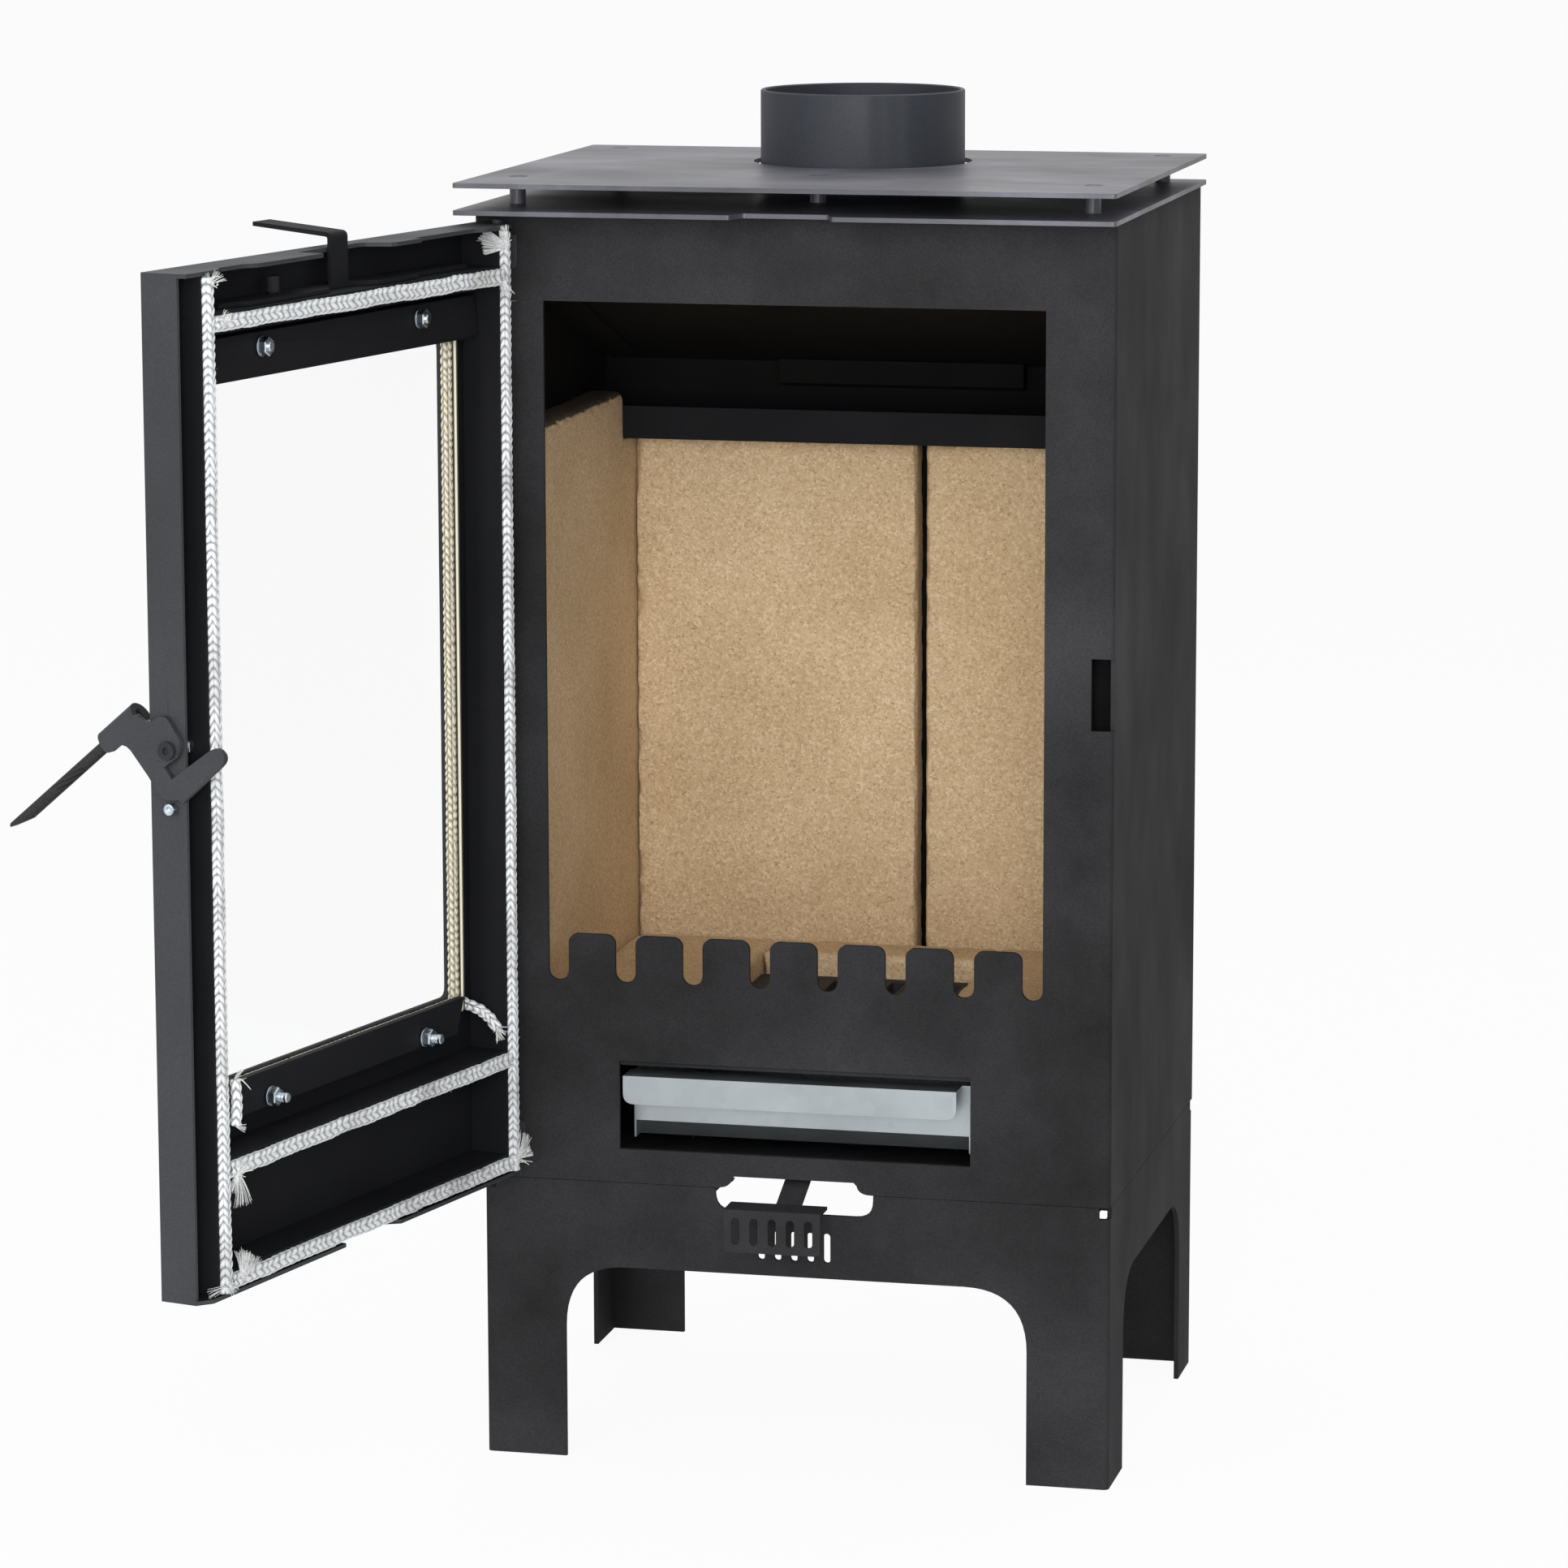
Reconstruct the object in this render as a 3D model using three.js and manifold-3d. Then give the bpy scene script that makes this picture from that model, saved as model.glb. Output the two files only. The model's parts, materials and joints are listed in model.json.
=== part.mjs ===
// Small wood stove of folded sheet steel, with its glazed door standing open.
// Millimetres, +Z up. The stove's front faces -Y. While the pieces are modelled, x = 0 is the stove's
// middle plane, y = 0 the outer face of its front sheet and z = 0 the floor.
import * as THREE from "three";
import { mergeVertices } from "three/addons/utils/BufferGeometryUtils.js";
import Module from "manifold-3d";

// ---- Driving dimensions ----------------------------------------------------------------------
// Firebox casing: front and both sides are one folded sheet
const BODY_WIDTH = 400;
const BODY_DEPTH = 308;
const BODY_HEIGHT = 606.7;
const SHEET = 3;
const BEND_RADIUS = 4; // outside radius of the folded upright corners
const LIP_WIDTH = 15; // edges folded in at the casing's top and bottom
const LIP_RELIEF = 16; // length left unfolded at each corner
const REAR_INSET = 3; // the sides stand past the back sheet by this much
const CLEAR = 0.3; // gap between neighbouring pieces

// Firebox mouth with its row of log-retaining teeth
const MOUTH_SIDE_MARGIN = 43;
const MOUTH_TOP_MARGIN = 53.7;
const TOOTH_RISE = 25; // from the hearth boards up to the gaps between the teeth
const TOOTH_HEIGHT = 30;
const TOOTH_WIDTH = 30;
const TOOTH_COUNT = 7;
const TOOTH_CORNER = 6;

// Ash door mouth, latch slot, slider notch
const ASH_HALF_WIDTH = 112;
const ASH_MOUTH_RISE = 21.5; // from the casing's underside
const ASH_MOUTH_HEIGHT = 56.5;
const SLOT_WIDTH = 14; // measured in from the casing's right side
const SLOT_BELOW_PIVOT = 34.9;
const SLOT_ABOVE_PIVOT = 9.6;
const SLOT_WRAP = 3; // the latch slot runs this far past the corner onto the casing's side
const NOTCH_HALF_WIDTH = 40;
const NOTCH_HEIGHT = 7.5;
const NOTCH_FLARE = 9;
const NOTCH_CORNER = 2;

// Stand: a folded skirt cut into four legs
const STAND_HEIGHT = 179.7;
const STAND_GAP = 0.3; // between the stand's top and the casing
const LEG_WIDTH = 52;
const LEG_DEPTH_FRONT = 50;
const LEG_DEPTH_REAR = 46;
const SKIRT_DEPTH = 54.7; // of the skirt above the arches
const ARCH_RADIUS = 40;
const STAND_LIP = 20;
const STAND_CORNER_RELIEF = 7;
const SKIRT_NOTCH_SPARE = 1.5; // the skirt's notch is wider than the casing's at each side
const SKIRT_NOTCH_DEPTH = 14;
const SKIRT_NOTCH_RADIUS = 11;
const SKIRT_SLOT_COUNT = 5;
const SKIRT_SLOT_WIDTH = 4.5;
const SKIRT_SLOT_PITCH = 10.5;
const SKIRT_SLOT_RISE = 10; // above the arch
const SKIRT_SLOT_LENGTH = 19;

// Top plates and flue
const PLATE = 3;
const PLATE_SIDE_OVERHANG = 5;
const PLATE_FRONT_OVERHANG = 32;
const PLATE_REAR_SETBACK = 6;
const PLATE_CORNER = 3;
const SPACER_HEIGHT = 13.6;
const SPACER_RADIUS = 5;
const SPACER_SIDE_INSET = 20;
const SPACER_FRONT_Y = 28;
const SPACER_REAR_INSET = 24;
const SPACER_MIDDLE_Y = 72;
const LEVER_GATE_SPARE = 2; // notch in the lower plate's overhang, past the air-wash lever's travel
const LEVER_GATE_FLARE = 5;
const LEVER_GATE_DEPTH = 15;
const LEVER_GATE_CORNER = 2;
const FLUE_RADIUS = 65;
const FLUE_WALL = 3;
const FLUE_FROM_REAR = 108;
const FLUE_HEIGHT = 68;
const FLUE_SHADOW_GAP = 4.5; // the upper plate's hole clears the collar

// Linings: vermiculite boards
const BRICK = 25;
const SIDE_BRICK_DROP = 136.7; // from the casing's top
const BACK_BRICK_DROP = 31.6; // from the side boards' top
const BACK_JOINT_X = 22.6;
const BACK_JOINT_WIDTH = 4.4;
const BRICK_JOINT = 1.2;
const HEARTH_RISE = 74.7; // from the casing's underside to the hearth sheet's
const GRATE_HALF_WIDTH = 75;
const GRATE_FRONT_Y = 78;
const HEARTH_REAR_STRIP = 44.7; // hearth left behind the grate
const GRATE_THICKNESS = 10;
const GRATE_CORNER = 4;
const GRATE_RIM = 9;
const GRATE_SLOT = 9;
const GRATE_BAR = 10;
const HEARTH_LEDGE = 8; // the grate's edge rests on the hearth sheet by this much

// Smoke path: brick retainer, secondary-air hood, baffle and its side rails
const RETAINER_DEPTH = 52;
const RETAINER_LIP = 21.5;
const HOOD_HALF_WIDTH = 82;
const HOOD_SHIFT = 5.5; // to the right of the middle
const HOOD_RISE = 31.6; // above the back boards
const HOOD_HEIGHT = 19;
const HOOD_DEPTH = 12;
const HOOD_FOOT_SLOPE = 3;
const HOOD_TOP_SLOPE = 4;
const HOOD_HEADROOM = 1; // between the hood's back edge and the baffle
const HOOD_SHEET = 2;
const BAFFLE_THICKNESS = 4;
const BAFFLE_FRONT_Y = 78;
const BAFFLE_SLOPE = 19; // degrees
const BAFFLE_SIDE_GAP = 4;
const RAIL_WIDTH = 27;

// Ash compartment
const ASH_FLOOR_HEIGHT = 6.3; // folded depth of the ash floor
const PAN_SIDE_GAP = 4; // between the pan and the edge of its mouth
const PAN_FRONT_Y = 22;
const PAN_REAR_GAP = 16;
const PAN_RISE = 3; // above the foot of its mouth
const PAN_HEIGHT = 43.3;
const PAN_SHEET = 1.2;
const PAN_CHAMFER = 11; // height and length of the sloping foot of the pan's front
const PAN_LIP_INSET = 1.5;
const PAN_LIP_SHIFT = 4; // to the left of the middle
const PAN_LIP_FORWARD = 19;
const PAN_LIP_DROP = 18;
const PAN_LIP_CORNER = 7;
const RUNNER_X = 78;
const RUNNER_WIDTH = 18;
const RUNNER_SHEET = 2;
const RUNNER_FRONT_GAP = 70; // behind the casing's folded lip

// Primary-air slider: damper plate, bar and tag from one sheet
const SLIDER_SHEET = 2;
const SLIDER_BAR = 16;
const DAMPER_HALF_WIDTH = 45;
const DAMPER_FRONT_Y = 62;
const DAMPER_REAR_Y = 150;
const DAMPER_CORNER = 3;
const BAR_CORNER = 4;
const GUIDE_SHEET = 2; // angles under the ash floor that carry the damper
const GUIDE_LEDGE = 4;
const GUIDE_LIP = 1.5;
const AIR_HOLE_RADIUS = 13;
const AIR_HOLE_X = 24;
const AIR_HOLE_Y = 92;
const SLOPE_START_Y = 14;
const SLOPE_END_Y = -14;
const SLOPE_DROP = 11.2;
const TAG_FRONT_Y = -34.5;
const TAG_LEFT_X = -36.8;
const TAG_WIDTH = 61.4;
const TAG_HEIGHT = 27.2;
const TAG_BORDER = 5;
const TAG_SLOT_COUNT = 5;
const TAG_SLOT_WIDTH = 5.2;
const TAG_CORNER = 4;

// Hinge, on the left of the front
const HINGE_FROM_SIDE = 19.5;
const HINGE_Y = -16.7;
const DOOR_OPEN_DEG = 104.1;
const PIN_RADIUS = 3;
const PIN_COLLAR = 5;
const PIN_HEAD_HEIGHT = 2.4;
const PIN_PLAY = 0.3;
const BRACKET_SHEET = 3;
const BRACKET_FROM_SIDE = 12;
const BRACKET_WIDTH = 15.8;
const BRACKET_HEIGHT = 21;
const BRACKET_CORNER = 4;
const UPPER_LUG_DROP = 5.5; // from the door's top flange down to the upper lug
const LUG_HALF_WIDTH = 5.5;
const SCREW_RADIUS = 2.5;
const SCREW_HEAD = 4;
const SCREW_HEAD_HEIGHT = 3;
const SCREW_SOCKET = 1.7;
const SCREW_LENGTH = 10;
const SCREW_FROM_LUG = 11;
const SCREW_SHIFT = 1.8; // the screw stands off the bracket's middle by this
const LOWER_LUG_RISE = 4.5; // from the door's bottom flange up to the lower lug

// Door pan. a runs from the hinge to the free edge, b into the firebox when the door is shut.
const DOOR_SHEET = 2.5;
const DOOR_FREE_MARGIN = 11; // from the casing's side to the shut door's free edge
const DOOR_HINGE_A = -8.5;
const DOOR_FACE_B = -17.2;
const DOOR_RISE = 9; // above the casing's underside
const DOOR_TOP_MARGIN = 5.2; // below the casing's top
const FREE_FLANGE_B = 6.4;
const HINGE_LIP_B = -10;
const TOP_FLANGE_B = 12.6;
const TOP_RECESS_DEPTH = 5.5;
const FREE_RECESS_INSET = 31.5; // air recess in the top flange, from the free edge
const FREE_RECESS_LENGTH = 48;
const HINGE_RECESS_INSET = 38.5; // air recess in the top flange, from the hinge edge
const HINGE_RECESS_LENGTH = 82;
const RECESS_CURVE = 14; // length of the curve at a recess's end
const FLANGE_TAPER = 14; // the flanges narrow towards the hinge edge over this length
const FLANGE_TAPER_START = 6;
const WINDOW_SIDE_MARGIN = 54.5;
const WINDOW_BOTTOM_MARGIN = 118;
const WINDOW_TOP_MARGIN = 67.5;
const WINDOW_CORNER = 6;
const BOTTOM_NOTCH_WIDTH = 56;
const BOTTOM_NOTCH_SHIFT = 6; // from the stove's middle towards the free edge
const BOTTOM_NOTCH_SLOPE = 8;
const BOTTOM_NOTCH_B = 3;
const BOTTOM_CHAMFER = 9;

// Rope seals in channels behind the door's edge
const ROPE_RADIUS = 4.25;
const ROPE_SIDES = 12;
const ROPE_B = 12.15;
const CHANNEL_WALL = 1.5;
const CHANNEL_MOUTH_B = 11.7;
const ROPE_FROM_EDGE = 22; // upright ropes, from the door's edges
const TOP_ROPE_GAP = 4.95; // between the top clamp and the channel above it
const MIDDLE_ROPE_GAP = 15.95; // between the bottom clamp and the channel below it
const BOTTOM_ROPE_RISE = 1.7; // of the bottom rope above its seat on the flange
const ROPE_BED_DEPTH = 6; // from the channel's mouth down to the rope's bed

// Glass, its gasket and its clamps
const GLASS = 4;
const GLASS_FACE_B = -11.2;
const GLASS_MARGIN_A = 8;
const GLASS_MARGIN_Z = 10;
const GLASS_CORNER = 2;
const GASKET_WIDTH = 10;
const GASKET_TAIL = 24; // length of the gasket's spare end
const GASKET_TAIL_WIDTH = 8;
const CLAMP_SHEET = 2;
const CLAMP_B = -4.2;
const CLAMP_HINGE_GAP = 1.45; // between the top clamp and the rope channel at each end
const CLAMP_FREE_GAP = 1.05;
const TOP_CLAMP_HEIGHT = 26;
const BOTTOM_CLAMP_INSET = 1; // from the window's sides
const BOTTOM_CLAMP_LAP = 1; // past the window's lower edge
const BOTTOM_CLAMP_HEIGHT = 22;
const STUD_RADIUS = 3;
const STUD_INSET = 46; // from the window's sides
const BOTTOM_STUD_SHIFT = 4; // towards the free edge
const TOP_STUD_RISE = 17.5; // above the window
const BOTTOM_STUD_DROP = 15; // below the window
const TOP_CLAMP_TAPER = 5; // the clamps narrow away from the window
const BOTTOM_CLAMP_TAPER = 9;
const TOP_STUD_END_B = 5.5;
const BOTTOM_STUD_END_B = 10.5;
const WASHER_RADIUS = 6;
const WASHER_THICKNESS = 1.2;
const NUT_ACROSS_FLATS = 10;
const NUT_THICKNESS = 5;

// Air-wash slider with its lever, in the top of the door
const WASH_SHEET = 2.5;
const WASH_TRAVEL = 15;
const LEVER_SHIFT = 1; // from the stove's middle towards the free edge
const LEVER_WIDTH = 19;
const LEVER_B = -2; // inner face of the upright
const LEVER_ARM_DROP = 2.2; // the lever's bend lies this far under the lower top plate's top
const LEVER_REACH_B = -55.5;
const LEVER_RISE = 4.6; // of the arm's end above its bend
const LEVER_BEND = 4;
const LEVER_RECESS_GAP = 3; // hinge side of the recess, past the lever's travel
const LEVER_RECESS_ROOM = 17; // free side
const LEVER_RECESS_DEPTH = 0.6; // behind the lever
const WASH_HINGE_LAP = 4; // the slider runs past the window's sides
const WASH_FREE_LAP = 5;
const WASH_INNER_B = 8.5;
const WASH_WAVE_DEPTH = 6;
const WASH_WAVE = 18; // length of the curve down to the lever
const LEVER_SHOULDER = 4; // straight edge beside the lever before that curve
const WASH_PIN_A = 64; // from the lever's middle towards the free edge
const WASH_PIN_RADIUS = 2.5;
const WASH_PIN_HEAD = 3.8;
const WASH_PIN_HEIGHT = 9.5;
const WASH_PIN_B = -8;

// Latch on the free edge
const LATCH_SHEET = 4;
const LATCH_PIVOT_B = -2.3;
const LATCH_PIVOT_RISE = 323.4; // above the door's bottom edge
const PIVOT_HEAD = 5.2;
const PIVOT_HEAD_HEIGHT = 3.2;
const STOP_DROP = 34; // from the pivot down to the stop
const STOP_RADIUS = 3.3;
const STOP_HEIGHT = 5.2;
const LATCH_ARC = 28.6; // the plate's foot swings over the stop on this radius
const GRIP_RADIUS = 3.5;
const GRIP_SLOPE = 39.5; // degrees below level
const GRIP_START = 27.9; // from the pivot, measured level along b
const GRIP_END = 116;
const GRIP_BEVEL = 17;
const GRIP_TIP = 0.35; // height of the bevelled tip on the grip, as a share of its radius
const SLEEVE_END = 50.4; // the plate is rolled over the grip as far as this
const SLEEVE_TOP_Z = 24; // from the pivot up to the sleeve's ridge at its inner end
const PIVOT_BUSH_LENGTH = 5.8; // bush between the door's flange and the pivot's nut
const PIVOT_BUSH_RADIUS = 4;

// ---- Values worked out from them ---------------------------------------------------------------
const BODY_BOTTOM = STAND_HEIGHT + STAND_GAP;
const BODY_TOP = BODY_BOTTOM + BODY_HEIGHT;
const HALF = BODY_WIDTH / 2;
const INNER_HALF = HALF - SHEET;
const BACK_FACE_Y = BODY_DEPTH - REAR_INSET - SHEET; // inner face of the back sheet
const LOWER_PLATE_Z = BODY_TOP + CLEAR;
const UPPER_PLATE_Z = LOWER_PLATE_Z + PLATE + SPACER_HEIGHT;
const PLATE_REAR_Y = BODY_DEPTH - PLATE_REAR_SETBACK;
const SPACER_X = HALF - SPACER_SIDE_INSET;
const SPACER_REAR_Y = PLATE_REAR_Y - SPACER_REAR_INSET;
const LEVER_GATE_BACK_HALF = LEVER_WIDTH / 2 + WASH_TRAVEL + LEVER_GATE_SPARE;
const LEVER_GATE_FRONT_HALF = LEVER_GATE_BACK_HALF + LEVER_GATE_FLARE;
const FLUE_Y = BODY_DEPTH - FLUE_FROM_REAR;
const HEARTH_HEIGHT = BODY_BOTTOM + HEARTH_RISE;
const HEARTH_TOP = HEARTH_HEIGHT + SHEET;
const BRICK_BOTTOM = HEARTH_TOP + CLEAR;
const HEARTH_BRICK_TOP = BRICK_BOTTOM + BRICK;
const MOUTH_HALF_WIDTH = HALF - MOUTH_SIDE_MARGIN;
const MOUTH_TOP = BODY_TOP - MOUTH_TOP_MARGIN;
const TOOTH_ROOT = HEARTH_BRICK_TOP + TOOTH_RISE;
const TOOTH_TOP = TOOTH_ROOT + TOOTH_HEIGHT;
const ASH_MOUTH_BOTTOM = BODY_BOTTOM + ASH_MOUTH_RISE;
const ASH_MOUTH_TOP = ASH_MOUTH_BOTTOM + ASH_MOUTH_HEIGHT;
const SIDE_BRICK_TOP = BODY_TOP - SIDE_BRICK_DROP;
const BACK_BRICK_TOP = SIDE_BRICK_TOP - BACK_BRICK_DROP;
const SIDE_BRICK_OUTER = INNER_HALF - CLEAR;
const SIDE_BRICK_FACE = SIDE_BRICK_OUTER - BRICK;
const BACK_BRICK_REAR = BACK_FACE_Y - CLEAR;
const BACK_BRICK_FACE = BACK_BRICK_REAR - BRICK;
const GRATE_REAR_Y = BACK_BRICK_FACE - HEARTH_REAR_STRIP;
const HOOD_BOTTOM = BACK_BRICK_TOP + HOOD_RISE;
const BAFFLE_REAR_Z = HOOD_BOTTOM + HOOD_HEIGHT - HOOD_TOP_SLOPE + HOOD_HEADROOM; // underside at the back
const RETAINER_FRONT_Y = BACK_BRICK_REAR - RETAINER_DEPTH;
const ARCH_TOP = STAND_HEIGHT - SKIRT_DEPTH;
const SKIRT_NOTCH_HALF = NOTCH_HALF_WIDTH + NOTCH_FLARE + SKIRT_NOTCH_SPARE;
const SKIRT_SLOT_BOTTOM = ARCH_TOP + SKIRT_SLOT_RISE;
const SKIRT_SLOT_TOP = SKIRT_SLOT_BOTTOM + SKIRT_SLOT_LENGTH;
const ASH_FLOOR_Z = BODY_BOTTOM + SHEET + CLEAR;
const ASH_FLOOR_TOP = ASH_FLOOR_Z + ASH_FLOOR_HEIGHT;
const PAN_HALF_WIDTH = ASH_HALF_WIDTH - PAN_SIDE_GAP;
const PAN_LIP_LEFT = -PAN_HALF_WIDTH + PAN_LIP_INSET - PAN_LIP_SHIFT;
const PAN_LIP_RIGHT = PAN_HALF_WIDTH - PAN_LIP_INSET - PAN_LIP_SHIFT;
const PAN_REAR_Y = BACK_FACE_Y - PAN_REAR_GAP;
const PAN_BOTTOM = ASH_MOUTH_BOTTOM + PAN_RISE;
const PAN_TOP = PAN_BOTTOM + PAN_HEIGHT;
const DAMPER_Z = ASH_FLOOR_TOP - SHEET - CLEAR - SLIDER_SHEET;
const TAG_TOP = DAMPER_Z + SLIDER_SHEET - SLOPE_DROP;
const HINGE_X = -HALF + HINGE_FROM_SIDE;
const BRACKET_LEFT_X = -HALF + BRACKET_FROM_SIDE;
const BRACKET_RIGHT_X = BRACKET_LEFT_X + BRACKET_WIDTH;
const DOOR_FREE_A = HALF - DOOR_FREE_MARGIN - HINGE_X;
const DOOR_BOTTOM = BODY_BOTTOM + DOOR_RISE;
const DOOR_TOP = BODY_TOP - DOOR_TOP_MARGIN;
const WINDOW_LEFT_A = DOOR_HINGE_A + WINDOW_SIDE_MARGIN;
const WINDOW_RIGHT_A = DOOR_FREE_A - WINDOW_SIDE_MARGIN;
const WINDOW_BOTTOM = DOOR_BOTTOM + WINDOW_BOTTOM_MARGIN;
const WINDOW_TOP = DOOR_TOP - WINDOW_TOP_MARGIN;
const CHANNEL_HALF = ROPE_RADIUS + CLEAR + CHANNEL_WALL;
const DOOR_INNER_B = DOOR_FACE_B + DOOR_SHEET;
const CHANNEL_BASE_B = DOOR_INNER_B + CLEAR;
const DOOR_FLOOR = DOOR_BOTTOM + DOOR_SHEET;
const DOOR_CEILING = DOOR_TOP - DOOR_SHEET;
const ROPE_RIGHT_A = DOOR_HINGE_A + ROPE_FROM_EDGE; // hinge side
const ROPE_LEFT_A = DOOR_FREE_A - ROPE_FROM_EDGE; // free side
const BOTTOM_CLAMP_TOP = WINDOW_BOTTOM + BOTTOM_CLAMP_LAP;
const ROPE_TOP_Z = WINDOW_TOP + TOP_CLAMP_HEIGHT + TOP_ROPE_GAP + CHANNEL_HALF;
const ROPE_MIDDLE_Z = BOTTOM_CLAMP_TOP - BOTTOM_CLAMP_HEIGHT - MIDDLE_ROPE_GAP - CHANNEL_HALF;
const ROPE_BOTTOM_Z = DOOR_FLOOR + CLEAR + BOTTOM_ROPE_RISE + ROPE_RADIUS;
const CLAMP_RIGHT_A = ROPE_RIGHT_A + CHANNEL_HALF + CLAMP_HINGE_GAP;
const CLAMP_LEFT_A = ROPE_LEFT_A - CHANNEL_HALF - CLAMP_FREE_GAP;
const BOTTOM_CLAMP_RIGHT_A = WINDOW_LEFT_A + BOTTOM_CLAMP_INSET;
const TOP_STUD_Z = WINDOW_TOP + TOP_STUD_RISE;
const BOTTOM_STUD_Z = WINDOW_BOTTOM - BOTTOM_STUD_DROP;
const WASH_Z = ROPE_TOP_Z + CHANNEL_HALF + CLEAR;
const WINDOW_MIDDLE_A = (WINDOW_LEFT_A + WINDOW_RIGHT_A) / 2;
const STUD_FROM_MIDDLE = WINDOW_MIDDLE_A - WINDOW_LEFT_A - STUD_INSET;
const LEVER_MIDDLE_A = -HINGE_X + LEVER_SHIFT;
const LEVER_TOP = LOWER_PLATE_Z + PLATE - LEVER_ARM_DROP + WASH_SHEET;
const WASH_START_A = WINDOW_LEFT_A - WASH_HINGE_LAP;
const WASH_END_A = WINDOW_RIGHT_A + WASH_FREE_LAP;
const FREE_RECESS_A = DOOR_FREE_A - FREE_RECESS_INSET;
const FREE_RECESS_END_A = FREE_RECESS_A - FREE_RECESS_LENGTH;
const HINGE_RECESS_A = DOOR_HINGE_A + HINGE_RECESS_INSET;
const HINGE_RECESS_END_A = HINGE_RECESS_A + HINGE_RECESS_LENGTH;
const BOTTOM_NOTCH_FROM_A = -HINGE_X + BOTTOM_NOTCH_SHIFT - BOTTOM_NOTCH_WIDTH / 2;
const BOTTOM_NOTCH_TO_A = BOTTOM_NOTCH_FROM_A + BOTTOM_NOTCH_WIDTH;
const LATCH_PIVOT_Z = DOOR_BOTTOM + LATCH_PIVOT_RISE;
const SLOT_BOTTOM = LATCH_PIVOT_Z - SLOT_BELOW_PIVOT;
const SLOT_TOP = LATCH_PIVOT_Z + SLOT_ABOVE_PIVOT;
const UPPER_LUG_Z = DOOR_CEILING - UPPER_LUG_DROP - BRACKET_SHEET;
const LOWER_LUG_Z = DOOR_FLOOR + LOWER_LUG_RISE;
const SCREW_X = (BRACKET_LEFT_X + BRACKET_RIGHT_X) / 2 + SCREW_SHIFT;
const UPPER_SCREW_Z = UPPER_LUG_Z - SCREW_FROM_LUG;
const LOWER_SCREW_Z = LOWER_LUG_Z + BRACKET_SHEET + SCREW_FROM_LUG;
const CROSS_FROM_A = ROPE_RIGHT_A + CHANNEL_HALF + CLEAR; // the cross channels end against the uprights
const CROSS_TO_A = ROPE_LEFT_A - CHANNEL_HALF - CLEAR;
const POCKET_REACH = 40; // radius round the latch pivot kept free in the right-hand lining
const LATCH_A = DOOR_FREE_A + CLEAR;

// ---- Solids ----------------------------------------------------------------------------------
const wasm = await Module();
wasm.setup();
const RAD = Math.PI / 180;

function solidOf(geometry) {
  const bare = geometry.clone();
  bare.deleteAttribute("normal");
  bare.deleteAttribute("uv");
  const merged = mergeVertices(bare, 1e-4);
  const numbers = merged.attributes.position.array;
  return new wasm.Manifold(
    new wasm.Mesh({ numProp: 3, vertProperties: numbers, triVerts: new Uint32Array(merged.index.array) }),
  );
}

function join(...solids) {
  return solids.reduce((whole, next) => whole.add(next));
}

function cut(solid, ...tools) {
  return tools.reduce((rest, tool) => rest.subtract(tool), solid);
}

function box(x0, x1, y0, y1, z0, z1) {
  const geometry = new THREE.BoxGeometry(x1 - x0, y1 - y0, z1 - z0);
  return solidOf(geometry.translate((x0 + x1) / 2, (y0 + y1) / 2, (z0 + z1) / 2));
}

// A shape drawn in x and y, as a slab between two heights
function slabXY(shape, z0, z1, curveSegments = 6) {
  const geometry = new THREE.ExtrudeGeometry(shape, { depth: z1 - z0, bevelEnabled: false, curveSegments });
  return solidOf(geometry.translate(0, 0, z0));
}

// A shape drawn in x and z, as a slab from y0 back to y1
function slabXZ(shape, y0, y1, curveSegments = 6) {
  const geometry = new THREE.ExtrudeGeometry(shape, { depth: y1 - y0, bevelEnabled: false, curveSegments });
  return solidOf(geometry.rotateX(Math.PI / 2).translate(0, y1, 0));
}

// A shape drawn in y and z, as a slab from x0 to x1
function slabYZ(shape, x0, x1, curveSegments = 6) {
  const geometry = new THREE.ExtrudeGeometry(shape, { depth: x1 - x0, bevelEnabled: false, curveSegments });
  const turn = new THREE.Matrix4().set(0, 0, 1, x0, 1, 0, 0, 0, 0, 1, 0, 0, 0, 0, 0, 1);
  return solidOf(geometry.applyMatrix4(turn));
}

function polygon(points) {
  const shape = new THREE.Shape();
  points.forEach(([u, v], i) => (i ? shape.lineTo(u, v) : shape.moveTo(u, v)));
  shape.closePath();
  return shape;
}

// A polygon whose corners are rounded, each point being [u, v] or [u, v, radius]
function rounded(points) {
  const shape = new THREE.Shape();
  const count = points.length;
  points.forEach((point, i) => {
    const before = points[(i + count - 1) % count];
    const after = points[(i + 1) % count];
    const corner = new THREE.Vector2(point[0], point[1]);
    const back = new THREE.Vector2(before[0], before[1]).sub(corner);
    const ahead = new THREE.Vector2(after[0], after[1]).sub(corner);
    const opening = Math.acos(THREE.MathUtils.clamp(back.dot(ahead) / (back.length() * ahead.length()), -1, 1));
    const reach = Math.min((point[2] || 0) / Math.tan(opening / 2), back.length() / 2.01, ahead.length() / 2.01);
    const from = corner.clone().add(back.setLength(reach));
    const to = corner.clone().add(ahead.setLength(reach));
    if (i) shape.lineTo(from.x, from.y);
    else shape.moveTo(from.x, from.y);
    if (reach > 0) shape.quadraticCurveTo(corner.x, corner.y, to.x, to.y);
  });
  shape.closePath();
  return shape;
}

function rectangle(u0, v0, u1, v1, radius = 0) {
  return rounded([[u0, v0, radius], [u1, v0, radius], [u1, v1, radius], [u0, v1, radius]]);
}

// A slot with round ends, upright in its plane
function slot(middle, width, v0, v1) {
  const shape = new THREE.Shape();
  const r = width / 2;
  shape.moveTo(middle - r, v0 + r);
  shape.absarc(middle, v0 + r, r, Math.PI, 2 * Math.PI, false);
  shape.absarc(middle, v1 - r, r, 0, Math.PI, false);
  shape.closePath();
  return shape;
}

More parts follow.
